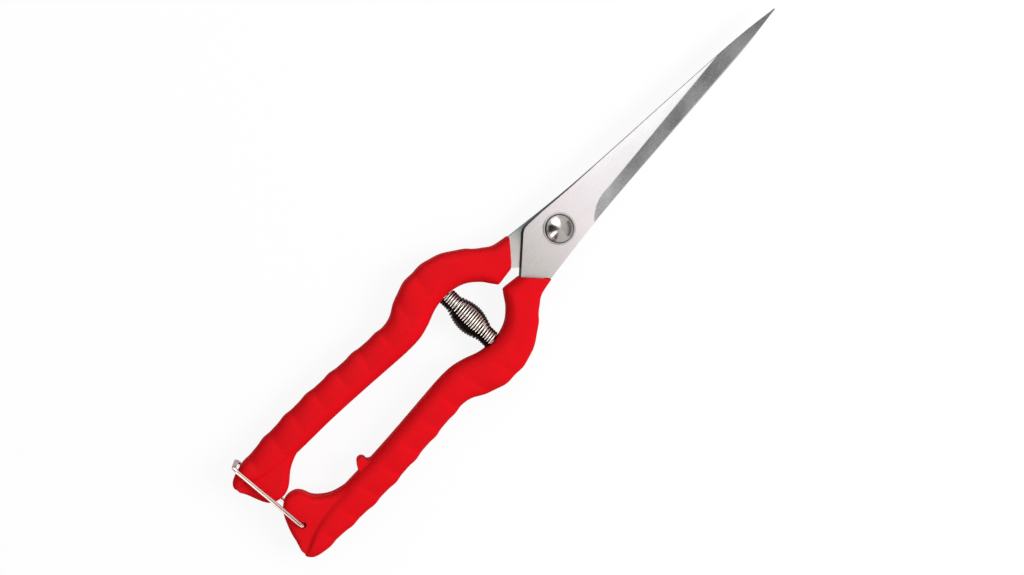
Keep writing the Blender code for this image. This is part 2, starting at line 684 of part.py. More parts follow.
def main():
    clear_scene()
    parts = new_collection("floral_snips")
    cutters = new_collection("cutters")
    blade_steel = material("ground_blade_steel", srgb(217, 210, 209), 0.28, 1.0)
    red_plastic = material("moulded_red_plastic", srgb(201, 8, 20), 0.42, 0.0)
    bolt_steel = material("polished_bolt_steel", srgb(160, 160, 158), 0.16, 1.0)
    spring_steel = material("spring_wire", srgb(150, 150, 142), 0.25, 1.0)
    bail_wire = material("plated_bail_wire", srgb(205, 200, 195), 0.18, 1.0)
    build_blades(blade_steel, parts, cutters)
    build_grips(red_plastic, parts, cutters)
    build_pivot(bolt_steel, parts, cutters)
    build_spring(spring_steel, parts)
    build_latch(bail_wire, parts)


main()
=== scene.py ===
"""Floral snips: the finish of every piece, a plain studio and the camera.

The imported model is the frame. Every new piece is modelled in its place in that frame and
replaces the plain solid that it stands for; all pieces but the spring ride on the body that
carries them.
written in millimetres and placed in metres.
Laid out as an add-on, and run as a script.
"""

import json
import math

import bmesh
import bpy
from bpy.props import FloatProperty, FloatVectorProperty, IntProperty, PointerProperty
from mathutils import Matrix, Vector

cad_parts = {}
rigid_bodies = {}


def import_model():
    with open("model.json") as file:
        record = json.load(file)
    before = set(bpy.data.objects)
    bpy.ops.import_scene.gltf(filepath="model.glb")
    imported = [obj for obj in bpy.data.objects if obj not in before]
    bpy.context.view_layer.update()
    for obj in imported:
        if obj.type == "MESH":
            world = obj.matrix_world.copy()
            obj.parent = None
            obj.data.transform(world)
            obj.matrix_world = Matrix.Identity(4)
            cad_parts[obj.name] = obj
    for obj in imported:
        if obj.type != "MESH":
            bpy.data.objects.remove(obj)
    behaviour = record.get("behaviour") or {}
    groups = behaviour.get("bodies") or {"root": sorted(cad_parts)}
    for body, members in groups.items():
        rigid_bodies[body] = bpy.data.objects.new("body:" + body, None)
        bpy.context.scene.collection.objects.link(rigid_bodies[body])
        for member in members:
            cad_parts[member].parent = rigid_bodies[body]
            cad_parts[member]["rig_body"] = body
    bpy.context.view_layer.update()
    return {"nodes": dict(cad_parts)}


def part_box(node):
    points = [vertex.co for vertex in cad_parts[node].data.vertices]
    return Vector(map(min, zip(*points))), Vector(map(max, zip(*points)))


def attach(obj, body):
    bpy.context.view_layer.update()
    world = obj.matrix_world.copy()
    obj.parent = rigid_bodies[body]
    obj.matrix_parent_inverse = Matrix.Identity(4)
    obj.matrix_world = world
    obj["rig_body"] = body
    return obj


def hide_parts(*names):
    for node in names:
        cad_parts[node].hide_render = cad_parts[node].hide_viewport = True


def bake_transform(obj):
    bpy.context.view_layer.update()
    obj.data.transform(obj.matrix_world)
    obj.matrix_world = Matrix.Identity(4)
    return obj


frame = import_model()

bl_info = {
    "name": "Floral snips",
    "version": (1, 0, 0),
    "blender": (4, 5, 0),
    "location": "View3D > Sidebar > Snips",
    "description": "Models and finishes the pieces of a pair of floral snips",
    "category": "Add Mesh",
}

MM = 0.001

# ---- places read from the frame, in millimetres --------------------------------------
def node_box(node):
    """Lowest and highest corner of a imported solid, in millimetres."""
    return [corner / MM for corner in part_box(node)]


GRIP_LOW, GRIP_HIGH = node_box("front_grip")
BLADE_LOW, BLADE_HIGH = node_box("front_blade")
BOLT_LOW, BOLT_HIGH = node_box("pivot_bolt")
HEAD_WASHER_LOW, HEAD_WASHER_HIGH = node_box("head_washer")
NUT_WASHER_LOW, NUT_WASHER_HIGH = node_box("nut_washer")
NUT_HIGH = node_box("pivot_nut")[1]
SPRING_LOW, SPRING_HIGH = node_box("return_spring")
STUD_LOW, STUD_HIGH = node_box("front_spring_stud")
BAIL_LOW, BAIL_HIGH = node_box("latch_bail")
PARTING = (GRIP_LOW.z + GRIP_HIGH.z) / 2        # the plane between the blades
GAP = 0.3
CUT_PAST = 1.0              # how far a cutting tool reaches past the piece
HOLE_SIDES = 32

# ---- shape of a grip on the +X side --------------------------------------------------
# Lines across a grip: (inner across, inner along, outer across, outer along)
GRIP_STATIONS = (
    (1.64, -17.31, 8.42, -11.30), (1.25, -20.3, 9.45, -16.3), (1.0, -22.6, 11.2, -18.9),
    (1.6, -23.3, 11.9, -19.9), (3.0, -24.3, 12.9, -21.1), (5.2, -25.9, 14.5, -22.7),
    (7.7, -28.9, 17.3, -26.9), (9.0, -32.4, 19.3, -31.5),
    (9.3, -36.0, 19.9, -36.8), (8.7, -40.2, 19.6, -41.8), (7.1, -44.6, 18.0, -46.6),
    (6.1, -48.8, 16.0, -50.6), (6.0, -53.7, 15.4, -54.5), (6.4, -60.0, 15.8, -60.0),
    (7.2, -71.0, 16.6, -71.0), (7.8, -82.0, 17.3, -82.0), (8.0, -92.0, 17.4, -92.0),
    (8.4, -101.2, 17.1, -101.2))
FRONT_TIP = ((10.0, -107.2, 16.8, -107.2), (11.2, -109.8, 16.7, -110.0),
             (12.0, -111.2, 16.4, -111.6), (12.6, -112.6, 15.8, -113.0),
             (13.0, -113.5, 14.9, -113.8), (13.6, -114.1, 14.1, -114.15))
REAR_TIP = ((10.0, -107.2, 16.6, -107.2), (11.2, -109.8, 16.3, -109.8),
            (12.0, -111.2, 15.95, -111.3), (12.4, -112.6, 15.5, -112.6),
            (12.7, -113.4, 14.95, -113.5), (13.1, -114.0, 14.1, -114.1))
OUTER_SPARE = 0.12          # what smoothing takes off an arm's outer side, and more so
BULGE_SPARE = 0.22          # round the bulge
INNER_SPARE = 0.10
SECTION_STEP = 0.5
SECTION_SIDES = 36
CHAMFER_SHARE = 0.45        # where the slope down to an arm's inner side starts, and its drop
CHAMFER_DROP = 1.0
CROWN_SHARE = -0.40         # where the roll down to the outer side starts, and its drop at
CROWN_DROP = 1.35           # the ribs, and less round the bulge
BULGE_CROWN_DROP = 0.5
ARM_HALF_THICK = (GRIP_HIGH.z - GRIP_LOW.z) / 2
GRIP_MISS = 2.0             # how far a grip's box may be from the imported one's
POMMEL_END = GRIP_LOW.y
POMMEL_CLOSE = 5.0          # the arm thins over this last length
POMMEL_THIN = 0.72
RIB_PITCH = 8.5
RIB_FIRST = -99.1
RIB_START = -47.4
RIB_SHARP = 0.3             # height of the second wave that sharpens the ribs
PAD_HEIGHT = 0.42           # finger pads on the faces: each swells, then drops off short
PAD_PITCH = 8.4             # along a slanting line on the side of the blades
PAD_FIRST = -72.3
PAD_MIDDLE = 12.7
PAD_SLANT = 0.21
PAD_LAST = -30.0
PAD_TOP = 0.5               # shares of a pad's pitch: its top, and where it drops off
PAD_EDGE = 0.88
PAD_FALL = 0.35             # shares of its height: the slow fall, and what lies in the face
PAD_LEVEL = 0.6
PAD_FADE = 8.0              # the pads die away over this length towards the blades
PAD_ACROSS = -0.55          # where they start across the arm, and over what share they rise
PAD_RISE = 0.45
FACET_PITCH = 6.4           # the softer facets round the bulge
FACET_FIRST = -28.0
BULGE_FIRST = -19.0
BULGE_LAST = -52.0
# The web inside a pommel, from the arm round its nose and along the end
FRONT_WEB = ((11.0, -87.2), (8.2, -89.7), (8.0, -92.4), (7.5, -94.9), (6.6, -97.3),
             (5.1, -99.4), (3.25, -101.1), (0.7, -102.1), (-0.9, -103.5), (-1.5, -106.0),
             (-0.8, -108.2), (1.5, -110.2), (5.6, -112.1), (9.0, -113.1), (12.5, -113.8),
             (14.2, -112.0), (13.0, -100.2))
REAR_WEB = ((11.0, -87.2), (8.6, -89.7), (8.5, -92.4), (8.1, -94.9), (7.3, -97.3),
            (6.1, -99.6), (4.6, -101.6), (3.2, -103.3), (2.4, -105.2), (2.3, -107.1),
            (2.9, -109.3), (4.3, -110.9), (6.7, -112.0), (9.1, -112.8), (12.4, -113.8),
            (14.0, -112.0), (13.0, -100.2))
WEB_HALF_THICK = 4.0
WEB_ROUND = 1.9
WEB_STEP = 0.8
WEB_BURIED = 11.5           # the web's rim is rounded short of here, where the arm covers it
WEB_FADE = 2.5
PIN_HOLE_RADIUS = 0.9
CATCH_HALF_THICK = 3.0
CATCH_MIDDLE = Vector((6.5, -84.75))
CATCH_RADIUS = 1.35
CATCH_FOOT = ((7.2, -86.75), (8.3, -87.3), (10.0, -87.6), (10.0, -82.0), (7.9, -82.5))
END_MIDDLE = Vector((5.1, -14.5))
END_TURN = math.radians(42.3)
END_WIDTH = 8.9
BAIL_HINGE = Vector((7.1, -108.2))
SPRING_BACK = (SPRING_LOW.y + SPRING_HIGH.y) / 2
STUD_RADIUS = 1.3

# ---- shape of a blade ----------------------------------------------------------------
# (along, half width to the cutting edge, half width to the spine)
BLADE_KNOTS = ((0.0, 6.80, 7.05), (10.0, 5.75, 6.0), (24.0, 4.75, 4.95), (48.0, 3.05, 3.45),
               (72.0, 1.47, 1.84), (85.7, 0.15, 0.15))
BLADE_TIP = 85.7
BLADE_STEP = 3.0
SHOULDER = ((-7.3, -5.1), (-7.15, -7.0), (-6.5, -8.15))
TANG_WIDTH = 4.8
TANG_END = -98.0
BEVEL_START = 8.2
BEVEL_FULL = 18.0
BEVEL_WIDTH = 3.5
BEVEL_OUT = 65.0
PLUNGE_CURVE = 2.5
TIP_THICK = 1.0
RIM_WIDTH = 0.20            # the bright line where the bevel was blended into the flat
RIM_DROP = 0.035
PLUNGE_STEPS = 14
BEVEL_STEPS = 12
WHEEL_END = BLADE_TIP * 1.02
WHEEL_PAST = 1.3            # the wheel's face runs past the cutting edge by this share
WHEEL_CLEAR = 3.0
FLAT, BEVEL, EDGE, SLIDE = range(4)             # a blade's finishes, in the order of its slots
SIDE_LEVEL = 0.5            # a face steeper than this is a side
RIM_LEVEL = 0.975           # a ground face more level than this is the blended rim
UNDER_LEVEL = -0.9
BORE_RADIUS = 2.3
BORE_SIDES = 64
SPINE_LEAN = 0.40           # how far the spine's wall leans in beside the pivot
SPINE_LEAN_OUT = 21.0
SPINE_SIDE = -4.0
SHOULDER_LEAN = Vector((0.36, 0.28))
SHOULDER_SIDE = 2.0
SHOULDER_END = -17.6

# ---- pivot ---------------------------------------------------------------------------
SHANK_RADIUS = 2.0
DOME_RIM = 0.35
DOME_INSET = 0.35           # the washer's middle, painted black as a painted shadow, shows as a thin ring round the dome
DOME_STEPS = 28
DOME_BREAK = 0.12           # the small chamfers under the dome and at the shank's end
SHANK_BREAK = 0.3
# The washer's top inside this radius is painted black: a painted shadow round the dome
WASHER_SHADOW_RADIUS = 4.08
WASHER_BREAK = 0.22         # share of a washer's thickness that its rims are broken by
NUT_FLOOR = 1.0             # the nut is closed below its thread, which opens in a small cone
NUT_MOUTH = 0.3
NUT_BORE_SIDES = 48

# ---- spring, as (turns, pitch) from each end to the middle ---------------------------
GROUND_TURNS = 0.42         # the end of the wire, which is ground flat
CLOSE_TURNS = 3.5
OPEN_TURNS = 2.5
DENSE_TURNS = 9.0
CLOSE_PITCH = 0.76
DENSE_PITCH = 0.80
SPRING_END_RADIUS = 2.34
SPRING_MID_RADIUS = 3.82
SPRING_TURN_POINTS = 30
SPRING_SIDES = 14
SPRING_BARREL = 0.9         # below 1 the barrel is fuller at its shoulders
STONE_THICK = 2.0           # the stone that grinds the spring's ends flat
STONE_REACH = 6.0
HIGHLIGHT_FROM = 0.62             # how squarely the wire has to face out before it gets the painted highlight
HIGHLIGHT_FACE = 0.75             # the same for the coil's two faces, and over what it fades in
HIGHLIGHT_FADE = 0.10
HIGHLIGHT_LEAN = 0.24             # the painted highlight reaches further round towards the blades

# ---- bail ----------------------------------------------------------------------------
BAIL_BEND = 1.3
BAIL_SAG = 0.4              # the bar hangs this much towards the pommels' ends
BAIL_PIN_DEPTH = 2.2
BAIL_SIDES = 20
BAIL_BEND_STEPS = 12
BAIL_RIM = 0.15

# ---- camera: the photograph's frame and angle ----------------------------------------
CAMERA_TARGET = Vector((2.5, -20.8, 6.5)) * MM
CAMERA_DISTANCE = 0.5
CAMERA_TILT = math.radians(7.5)
CAMERA_ROLL = math.radians(44.6)
CAMERA_LENS = 63.1

# ---- light: each lamp's name, place and size in metres, power in watts and what it lights
SKY_LIGHT = 0.55
LAMPS = (("main_softbox", (0.40, 0.40, 0.60), 0.45, 0.45, 4.9, "tone"),
         ("side_fill", (-0.35, 0.30, 0.60), 0.40, 0.40, 0.8, "tone"),
         ("dome_key", (-0.36, 0.12, 0.38), 0.38, 0.70, 2.6, "gloss"),
         ("dome_strip", (0.0, -0.36, 0.40), 0.11, 0.48, 0.7, "gloss"))
# Each felt card's name, place and size in metres, and colour
CARDS = (("left_card", (-0.245, -0.25, 0.40), 0.40, 0.80, "050505"),
         ("low_card", (0.16, -0.34, 0.34), 0.13, 0.40, "050505"),
         ("right_card", (0.37, 0.37, 0.28), 0.88, 0.38, "605E5C"))


def linear(text):
    """Linear colour of an sRGB one written as six hex digits."""
    shares = [int(text[k:k + 2], 16) / 255 for k in (0, 2, 4)]
    return tuple(s / 12.92 if s <= 0.04045 else ((s + 0.055) / 1.055) ** 2.4 for s in shares)


def millimetres(name, description, size, low=0.0):
    """A length whose default and lowest value are given in millimetres."""
    return FloatProperty(name=name, description=description, default=size * MM, min=low * MM,
                         unit="LENGTH", precision=5)


def finish_colour(name, description, text):
    """A colour whose default is given as six sRGB hex digits."""
    return FloatVectorProperty(name=name, description=description, default=linear(text),
                               subtype="COLOR", size=3, min=0, max=1)


class SnipsSizes(bpy.types.PropertyGroup):
    """Sizes that change a piece without changing how it fits."""
    edge_thick: millimetres("Cutting edge", "What the grinding leaves at the cutting edge",
                            0.16, 0.05)
    hollow: millimetres("Hollow", "How far the ground bevel sinks below a flat one", 0.05)
    rib_height: millimetres("Rib height", "Swell of a grip's outer side at each finger rib",
                            0.20)
    facet_height: millimetres("Facet height", "Swell of the soft facets round the bulge", 0.12)
    squareness: FloatProperty(
        name="Section", description="1 is an oval arm, less is squarer",
        default=0.48, min=0.3, max=1.0, subtype="FACTOR")
    plastic_grid: millimetres("Moulding grid", "Size of the faces of the moulded grips",
                              0.27, 0.2)
    spring_wire: millimetres("Spring wire", "Thickness of the spring's wire", 0.72, 0.2)
    bail_wire: millimetres("Bail wire", "Thickness of the bail's wire", 1.2, 0.5)
    turn_steps: IntProperty(
        name="Turned steps", description="Faces round a turned piece",
        default=96, min=24, max=256)


class SnipsFinishes(bpy.types.PropertyGroup):
    """Colours of the finishes."""
    plastic: finish_colour("Grip plastic", "Colour of the moulded grips", "DB0E18")
    blade: finish_colour("Blade flats", "Colour of the polished flats", "F8F6F7")
    blade_middle: finish_colour("Blade middle", "Colour of the flats before the pivot",
                                "EBE2E4")
    blade_root: finish_colour("Blade root", "Colour of the flats beside the grips", "BBB7B2")
    bevel: finish_colour("Ground bevel", "Colour of the matt ground bevel", "E9E9E9")
    # The blade's sides are painted near-black as painted shade along the spine and shoulder
    blade_side_shade: finish_colour("Blade edge", "Colour of the blade's darkened sides", "202426")
    bolt: finish_colour("Pivot bolt", "Colour of the polished domed bolt", "AEA8A4")
    # The spring's colours: a painted highlight on the crowns and painted shade on the flanks
    spring: finish_colour("Spring wire", "Colour of the spring's rubbed crowns", "E6DCD2")
    spring_shade: finish_colour("Spring painted shade", "Colour of the flanks between the turns",
                              "1C1815")
    # The bail's colours: bright faces, painted shade on the sides and a thin painted dark
    # reflection along each face
    bail: finish_colour("Bail wire", "Colour of the plated bail", "F4D6CC")
    bail_shading: finish_colour("Bail tarnish", "Colour of the bail where it is worn or dull",
                                "6A5A54")


# ---- modelling by hand ---------------------------------------------------------------
def deselect():
    if bpy.context.mode != "OBJECT":
        bpy.ops.object.mode_set(mode="OBJECT")
    bpy.ops.object.select_all(action="DESELECT")


def pick(thing):
    deselect()
    thing.select_set(True)
    bpy.context.view_layer.objects.active = thing


def circle(name, places, fill):
    """A circle pulled to the given places, left in edit mode and selected all over."""
    deselect()
    bpy.ops.mesh.primitive_circle_add(vertices=len(places), radius=MM, fill_type=fill)
    thing = bpy.context.object
    thing.name = name
    thing.data.name = name
    bpy.ops.object.mode_set(mode="EDIT")
    shape = bmesh.from_edit_mesh(thing.data)
    number = shape.verts.layers.int.new("place")
    for k, (vertex, place) in enumerate(zip(shape.verts, places)):
        vertex[number] = k
        vertex.co = Vector(place) * MM
    bmesh.update_edit_mesh(thing.data)
    return thing


def close_up(thing):
    """Leaves edit mode with the doubles merged and the faces outwards."""
    bpy.ops.mesh.select_all(action="SELECT")
    bpy.ops.mesh.remove_doubles(threshold=0.001 * MM)
    bpy.ops.mesh.normals_make_consistent(inside=False)
    bpy.ops.object.mode_set(mode="OBJECT")
    number = thing.data.attributes.get("place")
    if number:
        thing.data.attributes.remove(number)
    return thing


def drawn_out(name, rings):
    """A closed body: a filled circle extruded from ring to ring."""
    thing = circle(name, rings[0], "NGON")
    for before, ring in zip(rings, rings[1:]):
        step = (Vector(ring[0]) - Vector(before[0])) * MM
        bpy.ops.mesh.extrude_region_move(TRANSFORM_OT_translate={"value": step})
        shape = bmesh.from_edit_mesh(thing.data)
        number = shape.verts.layers.int["place"]
        for vertex in shape.verts:
            if vertex.select:
                vertex.co = Vector(ring[vertex[number]]) * MM
        bmesh.update_edit_mesh(thing.data)
    return close_up(thing)


def slab(name, outline, low, high):
    """A flat piece: a filled outline drawn up from low to high."""
    return drawn_out(name, [[(x, y, z) for x, y in outline] for z in (low, high)])


def spun(name, profile, steps, ring=False):
    """A turned piece about Z: its profile of (radius, height) spun round."""
    thing = circle(name, [(radius, 0.0, height) for radius, height in profile], "NOTHING")
    if not ring:
        shape = bmesh.from_edit_mesh(thing.data)
        for edge in shape.edges:
            edge.select_set(all(abs(vertex.co.x) < 0.0001 * MM for vertex in edge.verts))
        bmesh.update_edit_mesh(thing.data)
        bpy.ops.mesh.delete(type="EDGE")
    bpy.ops.mesh.select_all(action="SELECT")
    bpy.ops.mesh.spin(steps=steps, angle=math.tau, center=(0, 0, 0), axis=(0, 0, 1))
    return close_up(thing)


def apply(thing, kind, **settings):
    """Adds a modifier with its settings and applies it."""
    pick(thing)
    step = thing.modifiers.new(kind.lower(), kind)
    for name, value in settings.items():
        setattr(step, name, value)
    bpy.ops.object.modifier_apply(modifier=step.name)


def join_or_cut(thing, tool, operation):
    apply(thing, "BOOLEAN", operation=operation, solver="EXACT", object=tool,
          material_mode="TRANSFER")
    bpy.data.objects.remove(tool, do_unlink=True)


def cleaned(thing):
    """Merges the slivers that cutting leaves behind."""
    pick(thing)
    bpy.ops.object.mode_set(mode="EDIT")
    bpy.ops.mesh.select_all(action="SELECT")
    bpy.ops.mesh.dissolve_degenerate(threshold=0.002 * MM)
    close_up(thing)


def smooth_over(thing, angle):
    pick(thing)
    bpy.ops.object.shade_smooth_by_angle(angle=math.radians(angle))


def half_turned_copy(thing, name):
    """The other half's piece: the same shape turned about the line between the blades."""
    pick(thing)
    bpy.ops.object.duplicate()
    copy = bpy.context.object
    bpy.ops.transform.rotate(value=math.pi, orient_axis="Y",
                             center_override=(0.0, 0.0, PARTING * MM))
    bpy.ops.object.transform_apply(location=True, rotation=True, scale=True)
    copy.name = name
    copy.data.name = name
    return copy


def finish_piece(thing, body, slot, *nodes):
    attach(thing, body)
    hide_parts(*nodes)


def clamp(share):
    return min(max(share, 0.0), 1.0)


def through(stations, step):
    """Rows of numbers on a smooth line through the given rows."""
    rows = [tuple(stations[0])]
    for k in range(len(stations) - 1):
        before = stations[max(k - 1, 0)]
        start = stations[k]
        end = stations[k + 1]
        after = stations[min(k + 2, len(stations) - 1)]
        count = max(1, math.ceil(math.dist(start, end) / math.sqrt(len(start) / 2) / step))
        for n in range(1, count + 1):
            t = n / count
            rows.append(tuple(
                0.5 * (2 * b + (c - a) * t + (2 * a - 5 * b + 4 * c - d) * t ** 2
                       + (3 * b - a - 3 * c + d) * t ** 3)
                for a, b, c, d in zip(before, start, end, after)))
    return rows


# ---- materials -----------------------------------------------------------------------
def add_node(tree, kind, links=None, values=None, **settings):
    """Adds a node with its settings, socket values and incoming links."""
    node = tree.nodes.new(kind)
    for name, value in settings.items():
        setattr(node, name, value)
    for name, value in (values or {}).items():
        node.inputs[name].default_value = value
    for name, source in (links or {}).items():
        tree.links.new(source, node.inputs[name])
    return node


def new_material(name, colour, roughness, metallic):
    material = bpy.data.materials.new(name)
    material.use_nodes = True
    shader = material.node_tree.nodes["Principled BSDF"]
    shader.inputs["Base Color"].default_value = (*colour, 1.0)
    shader.inputs["Roughness"].default_value = roughness
    shader.inputs["Metallic"].default_value = metallic
    return material, material.node_tree, shader


def shade_of(colour, factor):
    return (*[min(1.0, channel * factor) for channel in colour], 1.0)


def per_mm(x, y, z):
    """Scale that gives a pattern features of these sizes in millimetres."""
    return (1 / (x * MM), 1 / (y * MM), 1 / (z * MM))


def moulded_grip_plastic(colour):
    """Injection-moulded PVC: even red, satin, with the faint orange-peel of the mould, a
    slow unevenness in the pigment and the fine flash line where the mould halves met."""
    material, tree, shader = new_material("moulded_red_pvc", colour, 0.65, 0.0)
    shader.inputs["IOR"].default_value = 1.49
    shader.inputs["Specular IOR Level"].default_value = 0.04
    here = add_node(tree, "ShaderNodeTexCoord").outputs["Object"]
    pigment = add_node(tree, "ShaderNodeTexNoise", {"Vector": here},
                       {"Scale": 1 / (9 * MM), "Detail": 3.0, "Roughness": 0.55})
    tones = add_node(tree, "ShaderNodeValToRGB", {"Fac": pigment.outputs["Fac"]})
    tones.color_ramp.elements[0].position = 0.32
    tones.color_ramp.elements[0].color = shade_of(colour, 0.97)
    tones.color_ramp.elements[1].position = 0.70
    tones.color_ramp.elements[1].color = shade_of(colour, 1.03)
    tree.links.new(tones.outputs["Color"], shader.inputs["Base Color"])
    # Handling polishes patches of about 14 mm
    wear = add_node(tree, "ShaderNodeTexNoise", {"Vector": here},
                    {"Scale": 1 / (14 * MM), "Detail": 2.0})
    satin = add_node(tree, "ShaderNodeMapRange", {"Value": wear.outputs["Fac"]},
                     {"From Min": 0.3, "From Max": 0.7, "To Min": 0.58, "To Max": 0.72})
    tree.links.new(satin.outputs["Result"], shader.inputs["Roughness"])
    # Orange-peel of 0.5 mm, coarser than the real one so that it shows
    peel = add_node(tree, "ShaderNodeTexNoise", {"Vector": here},
                    {"Scale": 1 / (0.5 * MM), "Detail": 2.0})
    height = add_node(tree, "ShaderNodeSeparateXYZ", {"Vector": here}).outputs["Z"]
    off = add_node(tree, "ShaderNodeMath", {0: height}, {1: PARTING * MM},
                   operation="SUBTRACT")
    away = add_node(tree, "ShaderNodeMath", {0: off.outputs[0]}, operation="ABSOLUTE")
    flash = add_node(tree, "ShaderNodeMapRange", {"Value": away.outputs[0]},
                     {"From Min": 0.04 * MM, "From Max": 0.12 * MM, "To Min": 1.0,
                      "To Max": 0.0})
    relief = add_node(tree, "ShaderNodeMath",
                      {0: peel.outputs["Fac"], 1: flash.outputs["Result"]},
                      operation="ADD")
    bump = add_node(tree, "ShaderNodeBump", {"Height": relief.outputs[0]},
                    {"Strength": 0.35, "Distance": 0.035 * MM})
    tree.links.new(bump.outputs["Normal"], shader.inputs["Normal"])
    return material


CLEAN = (0.97, 0.97, 0.97)  # no tone of its own: the bands give it


def worked_steel(name, colour, roughness, lines, spread, depth, stains=0.05):
    """Steel with the marks of the wheel that finished it. The marks are long in one
    direction, lines gives their size along X, Y and Z in millimetres, spread is how much
    the gloss varies between them, depth is their height in millimetres, and stains is how
    much the tone varies. Gives the material with its tone node, to be worked on further."""
    material, tree, shader = new_material(name, colour, roughness, 1.0)
    here = add_node(tree, "ShaderNodeTexCoord").outputs["Object"]
    stretched = add_node(tree, "ShaderNodeMapping", {"Vector": here},
                         {"Scale": per_mm(*lines)})
    marks = add_node(tree, "ShaderNodeTexNoise", {"Vector": stretched.outputs["Vector"]},
                     {"Scale": 1.0, "Detail": 4.0, "Roughness": 0.6})
    gloss = add_node(tree, "ShaderNodeMapRange", {"Value": marks.outputs["Fac"]},
                     {"From Min": 0.3, "From Max": 0.7, "To Min": roughness - spread,
                      "To Max": roughness + spread})
    tree.links.new(gloss.outputs["Result"], shader.inputs["Roughness"])
    # Slow clouding of the finish, about 11 mm across
    clouds = add_node(tree, "ShaderNodeTexNoise", {"Vector": here},
                      {"Scale": 1 / (11 * MM), "Detail": 2.0})
    mixed = add_node(tree, "ShaderNodeMath",
                     {0: clouds.outputs["Fac"], 1: marks.outputs["Fac"]},
                     operation="ADD")
    tones = add_node(tree, "ShaderNodeMapRange", {"Value": mixed.outputs[0]},
                     {"From Min": 0.7, "From Max": 1.3})
    tint = add_node(tree, "ShaderNodeMix", {"Factor": tones.outputs["Result"]},
                    data_type="RGBA")
    tint.inputs[6].default_value = shade_of(colour, 1 - stains)
    tint.inputs[7].default_value = shade_of(colour, 1 + stains)
    tree.links.new(tint.outputs[2], shader.inputs["Base Color"])
    bump = add_node(tree, "ShaderNodeBump", {"Height": marks.outputs["Fac"]},
                    {"Strength": 0.4, "Distance": depth * MM})
    tree.links.new(bump.outputs["Normal"], shader.inputs["Normal"])
    return material, tint


def banded(worked, measure, stops):
    """Tones worked steel by a measure from 0 to 1: stops are (measure, colour), rising."""
    material, tint = worked
    tree = material.node_tree
    tones = add_node(tree, "ShaderNodeValToRGB", {"Fac": measure})
    ramp = tones.color_ramp
    ramp.elements[0].position, ramp.elements[1].position = stops[0][0], stops[-1][0]
    ramp.elements[0].color = (*stops[0][1], 1.0)
    ramp.elements[1].color = (*stops[-1][1], 1.0)
    for place, colour in stops[1:-1]:
        ramp.elements.new(place).color = (*colour, 1.0)
    both = add_node(tree, "ShaderNodeMix", data_type="RGBA", blend_type="MULTIPLY")
    both.inputs[0].default_value = 1.0
    tree.links.new(tint.outputs[2], both.inputs[6])
    tree.links.new(tones.outputs["Color"], both.inputs[7])
    tree.links.new(both.outputs[2], tree.nodes["Principled BSDF"].inputs["Base Color"])
    return material


def banded_along(worked, low, high, stops):
    """Tones worked steel along the blade, from low to high in millimetres."""
    tree = worked[0].node_tree
    here = add_node(tree, "ShaderNodeTexCoord").outputs["Object"]
    along = add_node(tree, "ShaderNodeSeparateXYZ", {"Vector": here}).outputs["Y"]
    share = add_node(tree, "ShaderNodeMapRange", {"Value": along},
                     {"From Min": low * MM, "From Max": high * MM})
    return banded(worked, share.outputs["Result"], stops)


def banded_where_highlit(worked, stops):
    """Tones worked steel by the share of painted light that the piece carries."""
    highlit = add_node(worked[0].node_tree, "ShaderNodeAttribute", attribute_name="highlit")
    return banded(worked, highlit.outputs["Fac"], stops)


def polished_flat_steel(colour, middle_colour, root_colour):
    """Stainless blade steel, belt-polished along the blade: bright, softly mirroring, with
    fine lengthwise lines. The flats are toned greyer towards the grips."""
    worked = worked_steel("polished_blade_steel", CLEAN, 0.30, (0.2, 7.0, 0.2), 0.05, 0.003,
                          0.03)
    return banded_along(worked, -17, 33, [(0.0, root_colour), (0.46, middle_colour),
                                          (1.0, colour)])


def slide_steel_painted_shadow():
    """The faces that slide on each other, ground flat, with a grey painted shadow,
    darkest by the pivot, that clears to bare steel towards the grips and the point."""
    worked = worked_steel("slide_steel_painted_shadow", CLEAN, 0.34, (0.3, 3.0, 0.3), 0.05, 0.003, 0.06)
    # Tones of the painted shadow, from the grips to the point
    shadow_band = ((0.0, "DCD7D4"), (0.09, "C8C5C1"), (0.18, "7E8A85"), (0.5, "8F9694"),
            (1.0, "BCBCBA"))
    return banded_along(worked, -16, 34, [(place, linear(tone)) for place, tone in shadow_band])


def ground_bevel_steel(colour):
    """The same steel off the grinding wheel: matt grey with a fine grain, drawn at 0.35 mm
    so that it shows. It is painted darker towards the point, as painted shade against the
    stronger light on the flatter bevel there."""
    worked = worked_steel("ground_bevel_steel", (0.7, 0.7, 0.7), 0.50, (0.40, 0.34, 0.34),
                          0.10, 0.030, 0.42)
    # Painted shade: the bevel is darker towards the point
    point_shade = ((0.0, 1.0), (0.7, 0.57), (1.0, 0.51))
    return banded_along(worked, 10, 80, [(place, shade_of(colour, factor)[:3])
                                         for place, factor in point_shade])


def edge_shade_steel(colour):
    """Sides of the blank, never polished, dull and painted near-black: painted shade along the
    spine and shoulder.
    """
    return worked_steel("edge_steel_painted_shade", colour, 0.50, (0.6, 0.6, 0.6), 0.10, 0.010,
                        0.2)[0]


def turned_bolt_steel(colour):
    """Domed bolt turned on a lathe and buffed: the fine rings left round it draw every
    reflection out into a wedge towards the crown."""
    material = worked_steel("turned_bolt_steel", colour, 0.23, (0.4, 0.4, 0.4), 0.03, 0.001)[0]
    tree = material.node_tree
    shader = tree.nodes["Principled BSDF"]
    shader.inputs["Anisotropic"].default_value = 0.94
    shader.inputs["Anisotropic Rotation"].default_value = 0.25
    rings = add_node(tree, "ShaderNodeTangent", direction_type="RADIAL", axis="Z")
    tree.links.new(rings.outputs["Tangent"], shader.inputs["Tangent"])
    return material


